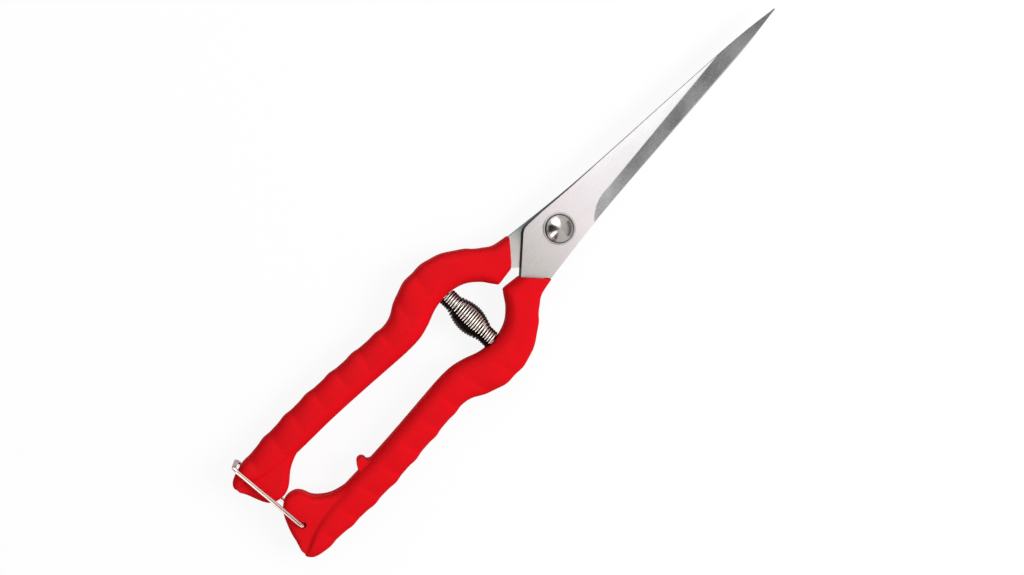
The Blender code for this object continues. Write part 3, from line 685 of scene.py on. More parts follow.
def zinc_plated_steel():
    """Barrel-plated nut and washers: grey, softly bright, faint spangle."""
    return worked_steel("zinc_plated_steel", linear("B4B0AE"), 0.30, (0.7, 0.7, 0.7), 0.06,
                        0.004, 0.08)[0]


def washer_shadow_steel():
    """Middle of the head's washer, dull and painted black: a painted shadow round the dome's
    rim.
    """
    return worked_steel("washer_painted_shadow", linear("2A2C2B"), 0.45, (0.5, 0.5, 0.5), 0.08,
                        0.004, 0.15)[0]


def spring_wire_with_painted_light(colour, flank_shade_colour):
    """Oil-tempered drawn wire, coiled and tumbled. The crowns of the turns on the coil's two
    faces get a painted highlight, and the flanks and the coil's sides are painted black as
    painted shade."""
    worked = worked_steel("spring_wire_painted_light", CLEAN, 0.38, (0.4, 0.2, 0.2), 0.04,
                          0.003, 0.06)
    return banded_where_highlit(worked, [(0.40, flank_shade_colour), (0.53, colour)])


def bail_wire_with_painted_light(colour, shading):
    """Nickel-plated soft wire: warm, bright and smooth. Its sides are painted dark as painted
    shade, and a thin dark line along the middle of its two faces is a painted reflection."""
    worked = worked_steel("plated_wire_painted_light", CLEAN, 0.22, (5.0, 0.3, 0.3), 0.04, 0.003,
                          0.05)
    return banded_where_highlit(worked, [(0.30, shading), (0.55, colour), (0.93, colour),
                                        (0.985, shading)])


# ---- blades --------------------------------------------------------------------------
BLADE_LINE = through(BLADE_KNOTS, BLADE_STEP)


def half_width(along, side):
    """Half width of the blade there: side 1 is the cutting edge's, 2 the spine's."""
    for low, high in zip(BLADE_LINE, BLADE_LINE[1:]):
        if along <= high[0]:
            share = (along - low[0]) / (high[0] - low[0])
            return low[side] + share * (high[side] - low[side])
    return BLADE_LINE[-1][side]


def blade_top(along):
    """Height of the blade's outer face, which thins from the full bevel to the tip."""
    share = max(0.0, (along - BEVEL_FULL) / (BLADE_TIP - BEVEL_FULL))
    return BLADE_HIGH.z + share * (BLADE_LOW.z + TIP_THICK - BLADE_HIGH.z)


def end_face(air):
    """Middle, direction and outward normal of a grip's end face, moved out by air."""
    along = Vector((math.cos(END_TURN), math.sin(END_TURN)))
    outward = Vector((-along.y, along.x))
    return END_MIDDLE + outward * air, along, outward


def tang_sides(widen, lengthen):
    """The tang's two sides down the middle of the grip."""
    inner = []
    outer = []
    for inner_x, inner_y, outer_x, outer_y in through(GRIP_STATIONS[:1] + GRIP_STATIONS[3:],
                                                      4 * SECTION_STEP)[1:]:
        middle = Vector((inner_x + outer_x, inner_y + outer_y)) / 2
        if middle.y < TANG_END - lengthen:
            break
        across = Vector((outer_x - inner_x, outer_y - inner_y)).normalized()
        inner.append(tuple(middle - across * (TANG_WIDTH / 2 + widen)))
        outer.append(tuple(middle + across * (TANG_WIDTH / 2 + widen)))
    return inner, outer


def blade_outline():
    middle, along, outward = end_face(GAP)
    inner, outer = tang_sides(0.0, 0.0)
    cutting = [(row[1], row[0]) for row in BLADE_LINE]
    spine = [(-row[2], row[0]) for row in reversed(BLADE_LINE)]
    root = [tuple(middle + along * across) for across in
            (END_WIDTH / 2, TANG_WIDTH / 2, -TANG_WIDTH / 2, -END_WIDTH / 2)]
    return ([root[0]] + cutting + spine + list(SHOULDER) + [root[3], root[2]]
            + inner + list(reversed(outer)) + [root[1]])


def bevel_wheel(sizes, finish):
    """What the wheel grinds off: a slightly hollow face from the bevel line to the edge."""
    edge_height = BLADE_LOW.z + sizes.edge_thick / MM
    hollow = sizes.hollow / MM
    full_line = half_width(BEVEL_FULL, 1) - BEVEL_WIDTH
    out_line = -half_width(BEVEL_OUT, 2)
    plunge = [BEVEL_START + (BEVEL_FULL - BEVEL_START) * k / PLUNGE_STEPS
              for k in range(PLUNGE_STEPS + 1)]
    straight = [BEVEL_FULL + (WHEEL_END - BEVEL_FULL) * k / BEVEL_STEPS
                for k in range(1, BEVEL_STEPS + 1)]
    rings = []
    for y in plunge + straight:
        line_y = max(y, BEVEL_FULL)
        along = (line_y - BEVEL_FULL) / (BEVEL_OUT - BEVEL_FULL)
        line = full_line + along * (out_line - full_line)
        run = half_width(line_y, 1) - line
        drop = blade_top(line_y) - edge_height
        swing = (1 - clamp((y - BEVEL_START) / (BEVEL_FULL - BEVEL_START))) ** PLUNGE_CURVE
        start = line + swing * (half_width(y, 1) - line)
        top = blade_top(y)
        ring = [(start - 2 * RIM_WIDTH, y, top + RIM_DROP), (start - RIM_WIDTH, y, top)]
        for share in (0.0, 0.2, 0.4, 0.6, 0.8, 1.0, WHEEL_PAST):
            sink = (RIM_DROP * (1 - min(share, 1.0))
                    + hollow * 4 * clamp(share) * (1 - clamp(share)))
            ring.append((start + run * share, y, top - drop * share - sink))
        ring += [(start + run * WHEEL_PAST, y, top + WHEEL_CLEAR),
                 (start - 2 * RIM_WIDTH, y, top + WHEEL_CLEAR)]
        rings.append(ring)
    wheel = drawn_out("bevel_wheel", rings)
    wheel.data.materials.append(finish)
    return wheel


def finish_blade_faces(blade, flat, bevel, edge, slide):
    """Gives each face its finish: bevels matt, flats and rims polished, sides painted dark as
    painted shade, and the faces that slide on each other with a painted shadow."""
    mesh = blade.data
    ground = {k for k, slot in enumerate(mesh.materials) if slot == bevel}
    kinds = []
    for face in mesh.polygons:
        upright = abs(face.normal.z) < SIDE_LEVEL
        cutting = face.center.x > 0 and face.center.y > BEVEL_START * MM
        rim = face.normal.z > RIM_LEVEL and face.center.y < BEVEL_OUT * MM
        if face.material_index in ground and not rim:
            kinds.append(BEVEL)
        # Sides, all but the cutting edge's thin wall, get the near-black painted shade
        elif upright and not cutting:
            kinds.append(EDGE)
        # Faces underneath, which slide on the other blade, get the painted shadow
        elif face.normal.z < UNDER_LEVEL:
            kinds.append(SLIDE)
        else:
            kinds.append(FLAT)
    mesh.materials.clear()
    for finish in (flat, bevel, edge, slide):
        mesh.materials.append(finish)
    for face, kind in zip(mesh.polygons, kinds):
        face.material_index = kind


class SNIPS_OT_blades(bpy.types.Operator):
    """Makes both blades: blank, tapered point, hollow-ground bevel, bore and tang"""
    bl_idname = "snips.make_blades"
    bl_label = "Make blades"

    def execute(self, context):
        sizes = context.scene.snips_sizes
        finishes = context.scene.snips_finishes
        flat = polished_flat_steel(finishes.blade, finishes.blade_middle, finishes.blade_root)
        bevel = ground_bevel_steel(finishes.bevel)
        edge = edge_shade_steel(finishes.blade_side_shade)
        blade = slab("front_blade_ground", blade_outline(), BLADE_LOW.z, BLADE_HIGH.z)
        blade.data.materials.append(flat)
        # The point thins from here on, and the spine's wall leans in beside the pivot
        pick(blade)
        bpy.ops.object.mode_set(mode="EDIT")
        bpy.ops.mesh.select_all(action="SELECT")
        bpy.ops.mesh.bisect(plane_co=(0, BEVEL_FULL * MM, 0), plane_no=(0, 1, 0))
        shape = bmesh.from_edit_mesh(blade.data)
        middle_height = (BLADE_LOW.z + BLADE_HIGH.z) / 2
        for vertex in shape.verts:
            x, y, z = vertex.co / MM
            if z < middle_height:
                continue
            if y > BEVEL_FULL:
                vertex.co.z = blade_top(y) * MM
            elif x < SPINE_SIDE and y > SHOULDER[0][1] - 0.1:
                vertex.co.x += SPINE_LEAN * clamp(1 - y / SPINE_LEAN_OUT) * MM
            elif x < SHOULDER_SIDE and y > SHOULDER_END:
                vertex.co.xy += SHOULDER_LEAN * MM
        bmesh.update_edit_mesh(blade.data)
        bpy.ops.object.mode_set(mode="OBJECT")
        low, high = BLADE_LOW.z - CUT_PAST, BLADE_HIGH.z + CUT_PAST
        bore = spun("bore", [(0.0, low), (BORE_RADIUS, low), (BORE_RADIUS, high), (0.0, high)],
                    BORE_SIDES)
        join_or_cut(blade, bore, "DIFFERENCE")
        join_or_cut(blade, bevel_wheel(sizes, bevel), "DIFFERENCE")
        cleaned(blade)
        finish_blade_faces(blade, flat, bevel, edge, slide_steel_painted_shadow())
        smooth_over(blade, 12)
        rear = half_turned_copy(blade, "rear_blade_ground")
        finish_piece(blade, "front_half", "blade_steel", "front_blade")
        finish_piece(rear, "rear_half", "blade_steel", "rear_blade")
        return {"FINISHED"}


# ---- grips ---------------------------------------------------------------------------
def smooth_step(share):
    share = clamp(share)
    return share * share * (3 - 2 * share)


def pad_swell(place):
    """Height of the finger pads there: a slow swell, a slow fall and a short drop."""
    along = place.y - PAD_SLANT * (place.x - PAD_MIDDLE) - PAD_FIRST
    share = (along / PAD_PITCH) % 1.0
    if share < PAD_TOP:
        height = math.sin(math.pi / 2 * share / PAD_TOP)
    elif share < PAD_EDGE:
        height = 1 - PAD_FALL * ((share - PAD_TOP) / (PAD_EDGE - PAD_TOP)) ** 2
    else:
        height = (1 - PAD_FALL) * (1 - share) / (1 - PAD_EDGE)
    return PAD_HEIGHT * (height - PAD_LEVEL) * clamp((PAD_LAST - place.y) / PAD_FADE)


def arm_rings(sizes, tip):
    """Sections of a grip's raised arm, squarish ovals that swell at each finger rib."""
    rings = []
    for inner_x, inner_y, outer_x, outer_y in through(GRIP_STATIONS + tip, SECTION_STEP):
        across = Vector((outer_x - inner_x, outer_y - inner_y))
        round_bulge = math.sin(math.pi * clamp((BULGE_FIRST - outer_y)
                                               / (BULGE_FIRST - BULGE_LAST)))
        outer_spare = OUTER_SPARE + BULGE_SPARE * round_bulge
        half = (across.length + INNER_SPARE + outer_spare) / 2
        across.normalize()
        middle = (Vector((inner_x + outer_x, inner_y + outer_y)) / 2
                  + across * (outer_spare - INNER_SPARE) / 2)
        wave = math.tau * (outer_y - RIB_FIRST) / RIB_PITCH
        ribs = clamp((RIB_START - outer_y) / RIB_PITCH) * sizes.rib_height / MM
        swell = ribs * (math.cos(wave) + RIB_SHARP * math.cos(2 * wave)) / (1 + RIB_SHARP)
        wave = math.tau * (outer_y - FACET_FIRST) / FACET_PITCH
        swell += round_bulge * sizes.facet_height / MM * math.cos(wave)
        ribbed = clamp((RIB_START - outer_y) / RIB_PITCH + 0.5)
        crown = BULGE_CROWN_DROP + ribbed * (CROWN_DROP - BULGE_CROWN_DROP)
        close = clamp((outer_y - POMMEL_END) / POMMEL_CLOSE)
        thick = ARM_HALF_THICK * (POMMEL_THIN + (1 - POMMEL_THIN)
                                  * math.sqrt(1 - (1 - close) ** 2))
        ring = []
        for k in range(SECTION_SIDES):
            angle = math.tau * (k + 0.5) / SECTION_SIDES
            out = math.copysign(abs(math.cos(angle)) ** sizes.squareness, math.cos(angle))
            up = math.copysign(abs(math.sin(angle)) ** sizes.squareness, math.sin(angle))
            place = middle + across * (out * half + max(out, 0.0) * swell)
            lift = (pad_swell(place) * smooth_step((out - PAD_ACROSS) / PAD_RISE)
                    - CHAMFER_DROP * clamp((-CHAMFER_SHARE - out) / (1 - CHAMFER_SHARE))
                    - crown * clamp((out - CROWN_SHARE) / (1 - CROWN_SHARE)) ** 2)
            ring.append((place.x, place.y, PARTING + up * (thick + lift)))
        rings.append(ring)
    return rings


def catch_outline():
    """Rounded nub on the arm's inner side that the bail can be parked behind."""
    arc = [tuple(CATCH_MIDDLE + Vector((math.cos(turn), math.sin(turn))) * CATCH_RADIUS)
           for turn in [math.radians(60 + 20 * k) for k in range(10)]]
    return arc + list(CATCH_FOOT)


def tang_slot():
    """Room for the tang, open at the grip's end face."""
    middle, along, outward = end_face(GAP)
    inner, outer = tang_sides(GAP, GAP)
    half = along * (TANG_WIDTH / 2 + GAP)
    mouth = middle + outward * TANG_WIDTH
    outline = ([tuple(mouth - half), tuple(middle - half)] + inner + list(reversed(outer))
               + [tuple(middle + half), tuple(mouth + half)])
    return slab("tang_slot", outline, BLADE_LOW.z - GAP, BLADE_HIGH.z + GAP)


def stud_seat():
    """Room for the spring's stud in the grip's inner side."""
    ring = []
    for k in range(HOLE_SIDES):
        turn = math.tau * k / HOLE_SIDES
        ring.append((SPRING_BACK + (STUD_RADIUS + GAP) * math.cos(turn),
                     PARTING + (STUD_RADIUS + GAP) * math.sin(turn)))
    return drawn_out("stud_seat", [[(x, y, z) for y, z in ring] for x in
                                   (STUD_LOW.x - CUT_PAST, STUD_HIGH.x + GAP)])


def drawn_in(outline, inset):
    """The web's outline moved inwards, but not where it runs inside the arm."""
    points = [Vector(point) for point in outline]
    turn = sum(a.x * b.y - a.y * b.x for a, b in zip(points, points[1:] + points[:1]))
    moved = []
    for k, point in enumerate(points):
        run = points[(k + 1) % len(points)] - points[k - 1]
        run.normalize()
        inward = Vector((-run.y, run.x)) * math.copysign(1.0, turn)
        moved.append(tuple(point + inward * inset * clamp((WEB_BURIED - point.x) / WEB_FADE)))
    return moved


def taken_in(thing, others):
    """Joins the others into the thing as loose parts."""
    pick(thing)
    for other in others:
        other.select_set(True)
    bpy.ops.object.join()


def moulded_grip(name, sizes, tip, web_rows, with_catch):
    grip = drawn_out(name, arm_rings(sizes, tip))
    outline = through(web_rows, WEB_STEP)
    rings = []
    for turn in [math.radians(15 * k) for k in range(-6, 7) if k != 0]:
        up = math.copysign(WEB_HALF_THICK - WEB_ROUND, turn) + WEB_ROUND * math.sin(turn)
        rings.append([(x, y, PARTING + up) for x, y in
                      drawn_in(outline, WEB_ROUND * (1 - math.cos(turn)))])
    parts = [drawn_out("web", rings)]
    if with_catch:
        parts.append(slab("catch", catch_outline(), PARTING - CATCH_HALF_THICK,
                          PARTING + CATCH_HALF_THICK))
    # One moulding: the new skin goes round all the parts, with small fillets between them
    taken_in(grip, parts)
    apply(grip, "REMESH", mode="VOXEL", voxel_size=sizes.plastic_grid)
    apply(grip, "SMOOTH", factor=0.5, iterations=3)
    join_or_cut(grip, tang_slot(), "DIFFERENCE")
    join_or_cut(grip, stud_seat(), "DIFFERENCE")
    if with_catch:
        hole = slab("bail_hole",
                    [tuple(BAIL_HINGE + Vector((math.cos(turn), math.sin(turn)))
                           * PIN_HOLE_RADIUS)
                     for turn in [math.tau * k / HOLE_SIDES for k in range(HOLE_SIDES)]],
                    GRIP_LOW.z - CUT_PAST, GRIP_HIGH.z + CUT_PAST)
        join_or_cut(grip, hole, "DIFFERENCE")
    width = max(vertex.co.x for vertex in grip.data.vertices) / MM
    length = max(vertex.co.y for vertex in grip.data.vertices) / MM
    if abs(width - GRIP_HIGH.x) > GRIP_MISS or abs(length - GRIP_HIGH.y) > GRIP_MISS:
        raise RuntimeError(f"{name} doesn't fill the packed grip")
    return grip


class SNIPS_OT_grips(bpy.types.Operator):
    """Makes both moulded grips: ribbed arm, pommel web, tang slot and spring seat"""
    bl_idname = "snips.make_grips"
    bl_label = "Make grips"

    def execute(self, context):
        sizes = context.scene.snips_sizes
        plastic = moulded_grip_plastic(context.scene.snips_finishes.plastic)
        front = moulded_grip("front_grip_moulded", sizes, FRONT_TIP, FRONT_WEB, True)
        rear_shape = moulded_grip("rear_shape", sizes, REAR_TIP, REAR_WEB, False)
        rear = half_turned_copy(rear_shape, "rear_grip_moulded")
        bpy.data.objects.remove(rear_shape, do_unlink=True)
        for grip, body, node in ((front, "front_half", "front_grip"),
                                 (rear, "rear_half", "rear_grip")):
            grip.data.materials.clear()
            grip.data.materials.append(plastic)
            smooth_over(grip, 38)
            finish_piece(grip, body, "grip_plastic", node)
        return {"FINISHED"}


# ---- pivot ---------------------------------------------------------------------------
def washer(name, low, high, radius, steps):
    """A flat ring with its rims broken."""
    soft = (high.z - low.z) * WASHER_BREAK
    ring = [(BORE_RADIUS, low.z), (radius - soft, low.z), (radius, low.z + soft),
            (radius, high.z - soft), (radius - soft, high.z),
            (min(WASHER_SHADOW_RADIUS, radius - 2 * soft), high.z), (BORE_RADIUS, high.z)]
    return spun(name, ring, steps, ring=True)


def dome_profile():
    radius = BOLT_HIGH.x - DOME_INSET
    head_low = HEAD_WASHER_HIGH.z + GAP
    swell = BOLT_HIGH.z - head_low - DOME_RIM
    rows = [(radius * math.sin(math.pi / 2 * k / DOME_STEPS),
             head_low + DOME_RIM + swell * math.cos(math.pi / 2 * k / DOME_STEPS))
            for k in range(DOME_STEPS + 1)]
    return rows + [(radius, head_low + DOME_BREAK), (radius - DOME_BREAK, head_low),
                   (SHANK_RADIUS, head_low), (SHANK_RADIUS, BOLT_LOW.z + SHANK_BREAK),
                   (SHANK_RADIUS - SHANK_BREAK, BOLT_LOW.z), (0.0, BOLT_LOW.z)]


def hexagon_nut(steps):
    """A hexagon with its corners turned off at both faces, blind from below."""
    corner = NUT_HIGH.x
    flat = corner * math.cos(math.pi / 6)
    top = NUT_HIGH.z
    turn_off = (corner - flat) * math.tan(math.radians(30))
    nut = slab("hexagon_nut", [(corner * math.cos(math.tau * k / 6),
                                corner * math.sin(math.tau * k / 6)) for k in range(6)],
               0.0, top)
    blank = spun("nut_blank", [(0.0, 0.0), (flat, 0.0), (corner, turn_off),
                               (corner + 0.1, turn_off + 0.05),
                               (corner + 0.1, top - turn_off - 0.05),
                               (corner, top - turn_off), (flat, top), (0.0, top)], steps)
    join_or_cut(nut, blank, "INTERSECT")
    thread = spun("nut_thread", [(0.0, NUT_FLOOR), (BORE_RADIUS, NUT_FLOOR),
                                 (BORE_RADIUS, top - NUT_MOUTH),
                                 (BORE_RADIUS + NUT_MOUTH, top),
                                 (BORE_RADIUS + NUT_MOUTH, top + CUT_PAST),
                                 (0.0, top + CUT_PAST)], NUT_BORE_SIDES)
    join_or_cut(nut, thread, "DIFFERENCE")
    cleaned(nut)
    return nut


class SNIPS_OT_pivot(bpy.types.Operator):
    """Makes the domed bolt, its two washers and the nut, and finishes the spring studs"""
    bl_idname = "snips.make_pivot"
    bl_label = "Make pivot"

    def execute(self, context):
        steps = context.scene.snips_sizes.turn_steps
        turned = turned_bolt_steel(context.scene.snips_finishes.bolt)
        washer_shadow_finish = washer_shadow_steel()
        zinc = zinc_plated_steel()
        bolt = spun("domed_bolt", dome_profile(), steps)
        top_washer = washer("dome_washer", HEAD_WASHER_LOW, HEAD_WASHER_HIGH,
                            HEAD_WASHER_HIGH.x, steps)
        low_washer = washer("plain_washer", NUT_WASHER_LOW, NUT_WASHER_HIGH,
                            NUT_WASHER_HIGH.x, steps)
        nut = hexagon_nut(steps)
        for piece, finish, node in ((bolt, turned, "pivot_bolt"),
                                    (top_washer, zinc, "head_washer"),
                                    (low_washer, zinc, "nut_washer"),
                                    (nut, zinc, "pivot_nut")):
            piece.data.materials.clear()
            piece.data.materials.append(finish)
            smooth_over(piece, 25)
            finish_piece(piece, frame["nodes"][node]["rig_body"], "bolt_steel", node)
        # The washer's top face round the dome gets the painted shadow
        top_washer.data.materials.append(washer_shadow_finish)
        for face in top_washer.data.polygons:
            if face.normal.z > 0.9 and face.center.xy.length < WASHER_SHADOW_RADIUS * MM:
                face.material_index = 1
        for node in ("front_spring_stud", "rear_spring_stud"):
            stud = frame["nodes"][node]
            for slot in stud.material_slots:
                slot.material = zinc
        return {"FINISHED"}


# ---- spring --------------------------------------------------------------------------
def spring_line(wire):
    """Points of one barrel helix along X: close, open, dense, open and close turns."""
    half_length = SPRING_HIGH.x - wire / 2
    rest = half_length - CLOSE_TURNS * CLOSE_PITCH - DENSE_TURNS / 2 * DENSE_PITCH
    open_pitch = rest / OPEN_TURNS
    # (turn, place) knots from the middle outwards
    knots = [(0.0, 0.0), (DENSE_TURNS / 2, DENSE_TURNS / 2 * DENSE_PITCH)]
    knots.append((knots[-1][0] + OPEN_TURNS, knots[-1][1] + OPEN_TURNS * open_pitch))
    knots.append((knots[-1][0] + CLOSE_TURNS, half_length))
    knots.append((knots[-1][0] + GROUND_TURNS, half_length + GROUND_TURNS * CLOSE_PITCH))
    last = knots[-1][0]
    open_end = knots[2][0]
    points = []
    count = math.ceil(2 * last * SPRING_TURN_POINTS)
    for n in range(count + 1):
        turn = -last + 2 * last * n / count
        size = abs(turn)
        for low, high in zip(knots, knots[1:]):
            if size <= high[0] + 1e-9:
                share = (size - low[0]) / (high[0] - low[0])
                across = low[1] + share * (high[1] - low[1])
                break
        swell = math.sin(math.pi / 2 * clamp((open_end - size) / open_end)) ** SPRING_BARREL
        radius = SPRING_END_RADIUS + (SPRING_MID_RADIUS - SPRING_END_RADIUS) * swell
        angle = math.tau * turn
        points.append(Vector((math.copysign(across, turn),
                              SPRING_BACK + radius * math.cos(angle),
                              PARTING + radius * math.sin(angle))))
    return points


def wire_rings(points, radius, sides, start_side):
    """Circles that stand square on a line of points, carried along without twisting."""
    side = Vector(start_side)
    rings = []
    for k, point in enumerate(points):
        run = (points[min(k + 1, len(points) - 1)] - points[max(k - 1, 0)]).normalized()
        side = (side - run * side.dot(run)).normalized()
        up = run.cross(side)
        rings.append([tuple(point + (side * math.cos(math.tau * n / sides)
                                     + up * math.sin(math.tau * n / sides)) * radius)
                      for n in range(sides)])
    return rings


def paint_crown_highlights(spring):
    """Marks the painted highlight: 1 on the outside of each turn on the coil's two faces, most
    towards the blades, and 0, painted shade, on the flanks and on the coil's sides.
    """
    axis = Vector((0.0, SPRING_BACK * MM, PARTING * MM))
    highlit = spring.data.attributes.new("highlit", "FLOAT", "POINT")
    for vertex, mark in zip(spring.data.vertices, highlit.data):
        out = vertex.co - axis
        out.x = 0.0
        out.normalize()
        crown = clamp((vertex.normal.dot(out) - HIGHLIGHT_FROM) / (1 - HIGHLIGHT_FROM))
        face = clamp((abs(out.z) + HIGHLIGHT_LEAN * out.y - HIGHLIGHT_FACE) / HIGHLIGHT_FADE)
        mark.value = crown * face


class SNIPS_OT_spring(bpy.types.Operator):
    """Makes the barrel spring between the grips"""
    bl_idname = "snips.make_spring"
    bl_label = "Make spring"

    def execute(self, context):
        wire = context.scene.snips_sizes.spring_wire / MM
        points = spring_line(wire)
        finishes = context.scene.snips_finishes
        spring = drawn_out("barrel_spring",
                           wire_rings(points, wire / 2, SPRING_SIDES, (1, 0, 0)))
        near, far = SPRING_BACK - STONE_REACH, SPRING_BACK + STONE_REACH
        for start, end in ((SPRING_LOW.x - STONE_THICK, SPRING_LOW.x),
                           (SPRING_HIGH.x, SPRING_HIGH.x + STONE_THICK)):
            stone = slab("grinding_stone",
                         [(start, near), (end, near), (end, far), (start, far)],
                         PARTING - STONE_REACH, PARTING + STONE_REACH)
            join_or_cut(spring, stone, "DIFFERENCE")
        paint_crown_highlights(spring)
        spring.data.materials.clear()
        spring.data.materials.append(spring_wire_with_painted_light(finishes.spring, finishes.spring_shade))
        smooth_over(spring, 50)
        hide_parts("return_spring")
        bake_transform(spring)
        return {"FINISHED"}


# ---- bail ----------------------------------------------------------------------------
def rounded(corners, radius, steps):
    """A line through the corners with each bend turned into an arc."""
    line = [corners[0]]
    for before, corner, after in zip(corners, corners[1:], corners[2:]):
        into = (corner - before).normalized()
        away = (after - corner).normalized()
        turn = into.angle(away)
        start = corner - into * radius * math.tan(turn / 2)
        side = (away - into * into.dot(away)).normalized()
        for k in range(steps + 1):
            angle = turn * k / steps
            line.append(start + into * radius * math.sin(angle)
                        + side * radius * (1 - math.cos(angle)))
    line.append(corners[-1])
    return line


class SNIPS_OT_bail(bpy.types.Operator):
    """Makes the wire bail that swings round the rear pommel"""
    bl_idname = "snips.make_bail"
    bl_label = "Make bail"

    def execute(self, context):
        wire = context.scene.snips_sizes.bail_wire / MM
        leg = BAIL_HIGH.z - PARTING - wire / 2
        pin = WEB_HALF_THICK - BAIL_PIN_DEPTH
        hinge = Vector((BAIL_HINGE.x, BAIL_HINGE.y, PARTING))
        bar = Vector((BAIL_LOW.x + wire / 2, BAIL_LOW.y + wire / 2 - BAIL_SAG, PARTING))
        up = Vector((0.0, 0.0, 1.0))
        line = rounded([hinge + up * pin, hinge + up * leg, bar + up * leg, bar - up * leg,
                        hinge - up * leg, hinge - up * pin], BAIL_BEND, BAIL_BEND_STEPS)
        bail = drawn_out("wire_bail", wire_rings(line, wire / 2, BAIL_SIDES, (1, 0, 0)))
        apply(bail, "BEVEL", width=BAIL_RIM * MM, segments=2, limit_method="ANGLE",
              angle_limit=math.radians(60))
        finishes = context.scene.snips_finishes
        # Painted light: how squarely each point faces up or down, which the finish turns into
        # a bright face, painted shade on the sides and a thin painted dark reflection
        shaded = bail.data.attributes.new("highlit", "FLOAT", "POINT")
        for vertex, mark in zip(bail.data.vertices, shaded.data):
            mark.value = abs(vertex.normal.z)
        bail.data.materials.append(bail_wire_with_painted_light(finishes.bail, finishes.bail_shading))
        smooth_over(bail, 50)
        finish_piece(bail, "latch", "bail_wire", "latch_bail")
        return {"FINISHED"}


# ---- stage ---------------------------------------------------------------------------
def seen_as_white(tree):
    """1 for rays from the camera, off gloss and through glass, which see plain white."""
    path = add_node(tree, "ShaderNodeLightPath")
    first = add_node(tree, "ShaderNodeMath", {0: path.outputs["Is Camera Ray"],
                                              1: path.outputs["Is Glossy Ray"]},
                     operation="MAXIMUM")
    return add_node(tree, "ShaderNodeMath", {0: first.outputs[0],
                                             1: path.outputs["Is Transmission Ray"]},
                    operation="MAXIMUM").outputs[0]


def white_floor():
    """Matt white sweep: plain white to the eye, and it keeps the object's soft shadow."""
    deselect()
    bpy.ops.mesh.primitive_plane_add(size=6.0, location=(0, 0, 0))
    floor = bpy.context.object
    floor.name = "studio_floor"
    white = linear("F7F7F7")
    material, tree, shader = new_material("white_sweep", white, 0.9, 0.0)
    shader.inputs["Specular IOR Level"].default_value = 0.0
    # The sweep is flagged off below the table, so that it throws little light back up
    path = add_node(tree, "ShaderNodeLightPath")
    paper = add_node(tree, "ShaderNodeMix", {"Factor": path.outputs["Is Diffuse Ray"]},
                     data_type="RGBA")
    paper.inputs[6].default_value = (*white, 1.0)
    paper.inputs[7].default_value = (*linear("B0B0B0"), 1.0)
    tree.links.new(paper.outputs[2], shader.inputs["Base Color"])
    glow = add_node(tree, "ShaderNodeEmission",
                    values={"Color": (1, 1, 1, 1), "Strength": 1.0})
    share = add_node(tree, "ShaderNodeMath", {0: seen_as_white(tree)}, {1: 0.90},
                     operation="MULTIPLY")
    mixed = add_node(tree, "ShaderNodeMixShader", {"Fac": share.outputs[0]})
    tree.links.new(shader.outputs[0], mixed.inputs[1])
    tree.links.new(glow.outputs[0], mixed.inputs[2])
    out = tree.nodes["Material Output"]
    tree.links.new(mixed.outputs[0], out.inputs["Surface"])
    floor.data.materials.append(material)


def studio_world(light):
    world = bpy.data.worlds.new("studio")
    world.use_nodes = True
    tree = world.node_tree
    out = tree.nodes["World Output"]
    lit = tree.nodes["Background"]
    # Soft light from above that falls off towards the horizon
    sky = add_node(tree, "ShaderNodeTexCoord").outputs["Generated"]
    height = add_node(tree, "ShaderNodeSeparateXYZ", {"Vector": sky}).outputs["Z"]
    fall = add_node(tree, "ShaderNodeMapRange", {"Value": height},
                    {"From Min": 0.0, "From Max": 1.0, "To Min": 0.25 * light,
                     "To Max": 1.3 * light})
    lit.inputs["Color"].default_value = (1, 1, 1, 1)
    tree.links.new(fall.outputs["Result"], lit.inputs["Strength"])
    white = add_node(tree, "ShaderNodeBackground",
                     values={"Color": (1, 1, 1, 1), "Strength": 1.0})
    mixed = add_node(tree, "ShaderNodeMixShader", {"Fac": seen_as_white(tree)})
    tree.links.new(lit.outputs[0], mixed.inputs[1])
    tree.links.new(white.outputs[0], mixed.inputs[2])
    tree.links.new(mixed.outputs[0], out.inputs["Surface"])
    bpy.context.scene.world = world


def aimed(thing, place, target):
    thing.location = place
    thing.rotation_mode = "QUATERNION"
    thing.rotation_quaternion = (Vector(target) - Vector(place)).to_track_quat("-Z", "Y")


def soft_lamp(name, place, width, height, power, lights):
    """A softbox. One that lights only "tone" is out of sight of polished metal, and one
    that lights only "gloss" is nothing but a reflection in it."""
    lamp = bpy.data.lights.new(name, "AREA")
    lamp.shape = "RECTANGLE"
    lamp.size = width
    lamp.size_y = height
    lamp.energy = power
    thing = bpy.data.objects.new(name, lamp)
    bpy.context.scene.collection.objects.link(thing)
    thing.visible_glossy = lights != "tone"
    thing.visible_diffuse = lights != "gloss"
    aimed(thing, place, (0, 0, 0))


def felt_card(name, place, width, height, tone):
    """A dark card beside the table that only polished metal sees."""
    deselect()
    bpy.ops.mesh.primitive_plane_add(size=1.0)
    card = bpy.context.object
    card.name = name
    card.scale = (width, height, 1)
    aimed(card, place, (0, 0, 0.01))
    material, tree, shader = new_material(name + "_felt", linear(tone), 1.0, 0.0)
    shader.inputs["Specular IOR Level"].default_value = 0.0
    card.data.materials.append(material)
    card.visible_camera = False
    card.visible_diffuse = False
    card.visible_shadow = False


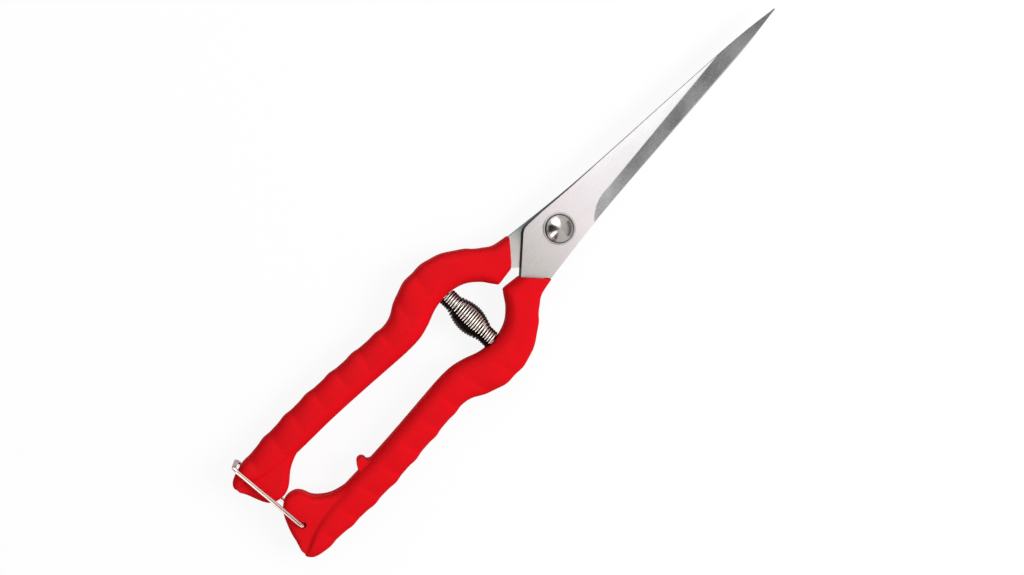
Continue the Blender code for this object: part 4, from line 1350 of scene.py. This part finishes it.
class SNIPS_OT_stage(bpy.types.Operator):
    """Makes the white floor, the soft lamps, the world and the camera"""
    bl_idname = "snips.make_stage"
    bl_label = "Make stage"

    def execute(self, context):
        white_floor()
        studio_world(SKY_LIGHT)
        for lamp in LAMPS:
            soft_lamp(*lamp)
        for card in CARDS:
            felt_card(*card)
        camera = bpy.data.cameras.new("photo_camera")
        camera.lens = CAMERA_LENS
        camera.clip_start = 0.01
        seat = bpy.data.objects.new("photo_camera", camera)
        bpy.context.scene.collection.objects.link(seat)
        across = Vector((math.cos(CAMERA_TILT), 0.0, math.sin(CAMERA_TILT)))
        along = Vector((0.0, 1.0, 0.0))
        back = across.cross(along)
        right = across * math.cos(CAMERA_ROLL) + along * math.sin(CAMERA_ROLL)
        up = along * math.cos(CAMERA_ROLL) - across * math.sin(CAMERA_ROLL)
        turn = Matrix((right, up, back)).transposed().to_4x4()
        seat.matrix_world = Matrix.Translation(CAMERA_TARGET + back * CAMERA_DISTANCE) @ turn
        context.scene.camera = seat
        context.scene.view_settings.view_transform = "Standard"
        return {"FINISHED"}


class SNIPS_PT_panel(bpy.types.Panel):
    """Lists the steps that make the snips"""
    bl_idname = "SNIPS_PT_panel"
    bl_label = "Floral snips"
    bl_space_type = "VIEW_3D"
    bl_region_type = "UI"
    bl_category = "Snips"

    def draw(self, context):
        for group in (context.scene.snips_sizes, context.scene.snips_finishes):
            for name in group.__annotations__:
                self.layout.prop(group, name)
        for operator in OPERATORS:
            self.layout.operator(operator.bl_idname)


OPERATORS = (SNIPS_OT_blades, SNIPS_OT_grips, SNIPS_OT_pivot, SNIPS_OT_spring, SNIPS_OT_bail,
             SNIPS_OT_stage)
CLASSES = (SnipsSizes, SnipsFinishes, *OPERATORS, SNIPS_PT_panel)


def register():
    for kind in CLASSES:
        bpy.utils.register_class(kind)
    bpy.types.Scene.snips_sizes = PointerProperty(type=SnipsSizes)
    bpy.types.Scene.snips_finishes = PointerProperty(type=SnipsFinishes)


def unregister():
    del bpy.types.Scene.snips_sizes
    del bpy.types.Scene.snips_finishes
    for kind in reversed(CLASSES):
        bpy.utils.unregister_class(kind)


def main():
    register()
    bpy.ops.snips.make_blades()
    bpy.ops.snips.make_grips()
    bpy.ops.snips.make_pivot()
    bpy.ops.snips.make_spring()
    bpy.ops.snips.make_bail()
    bpy.ops.snips.make_stage()


if __name__ == "__main__":
    main()
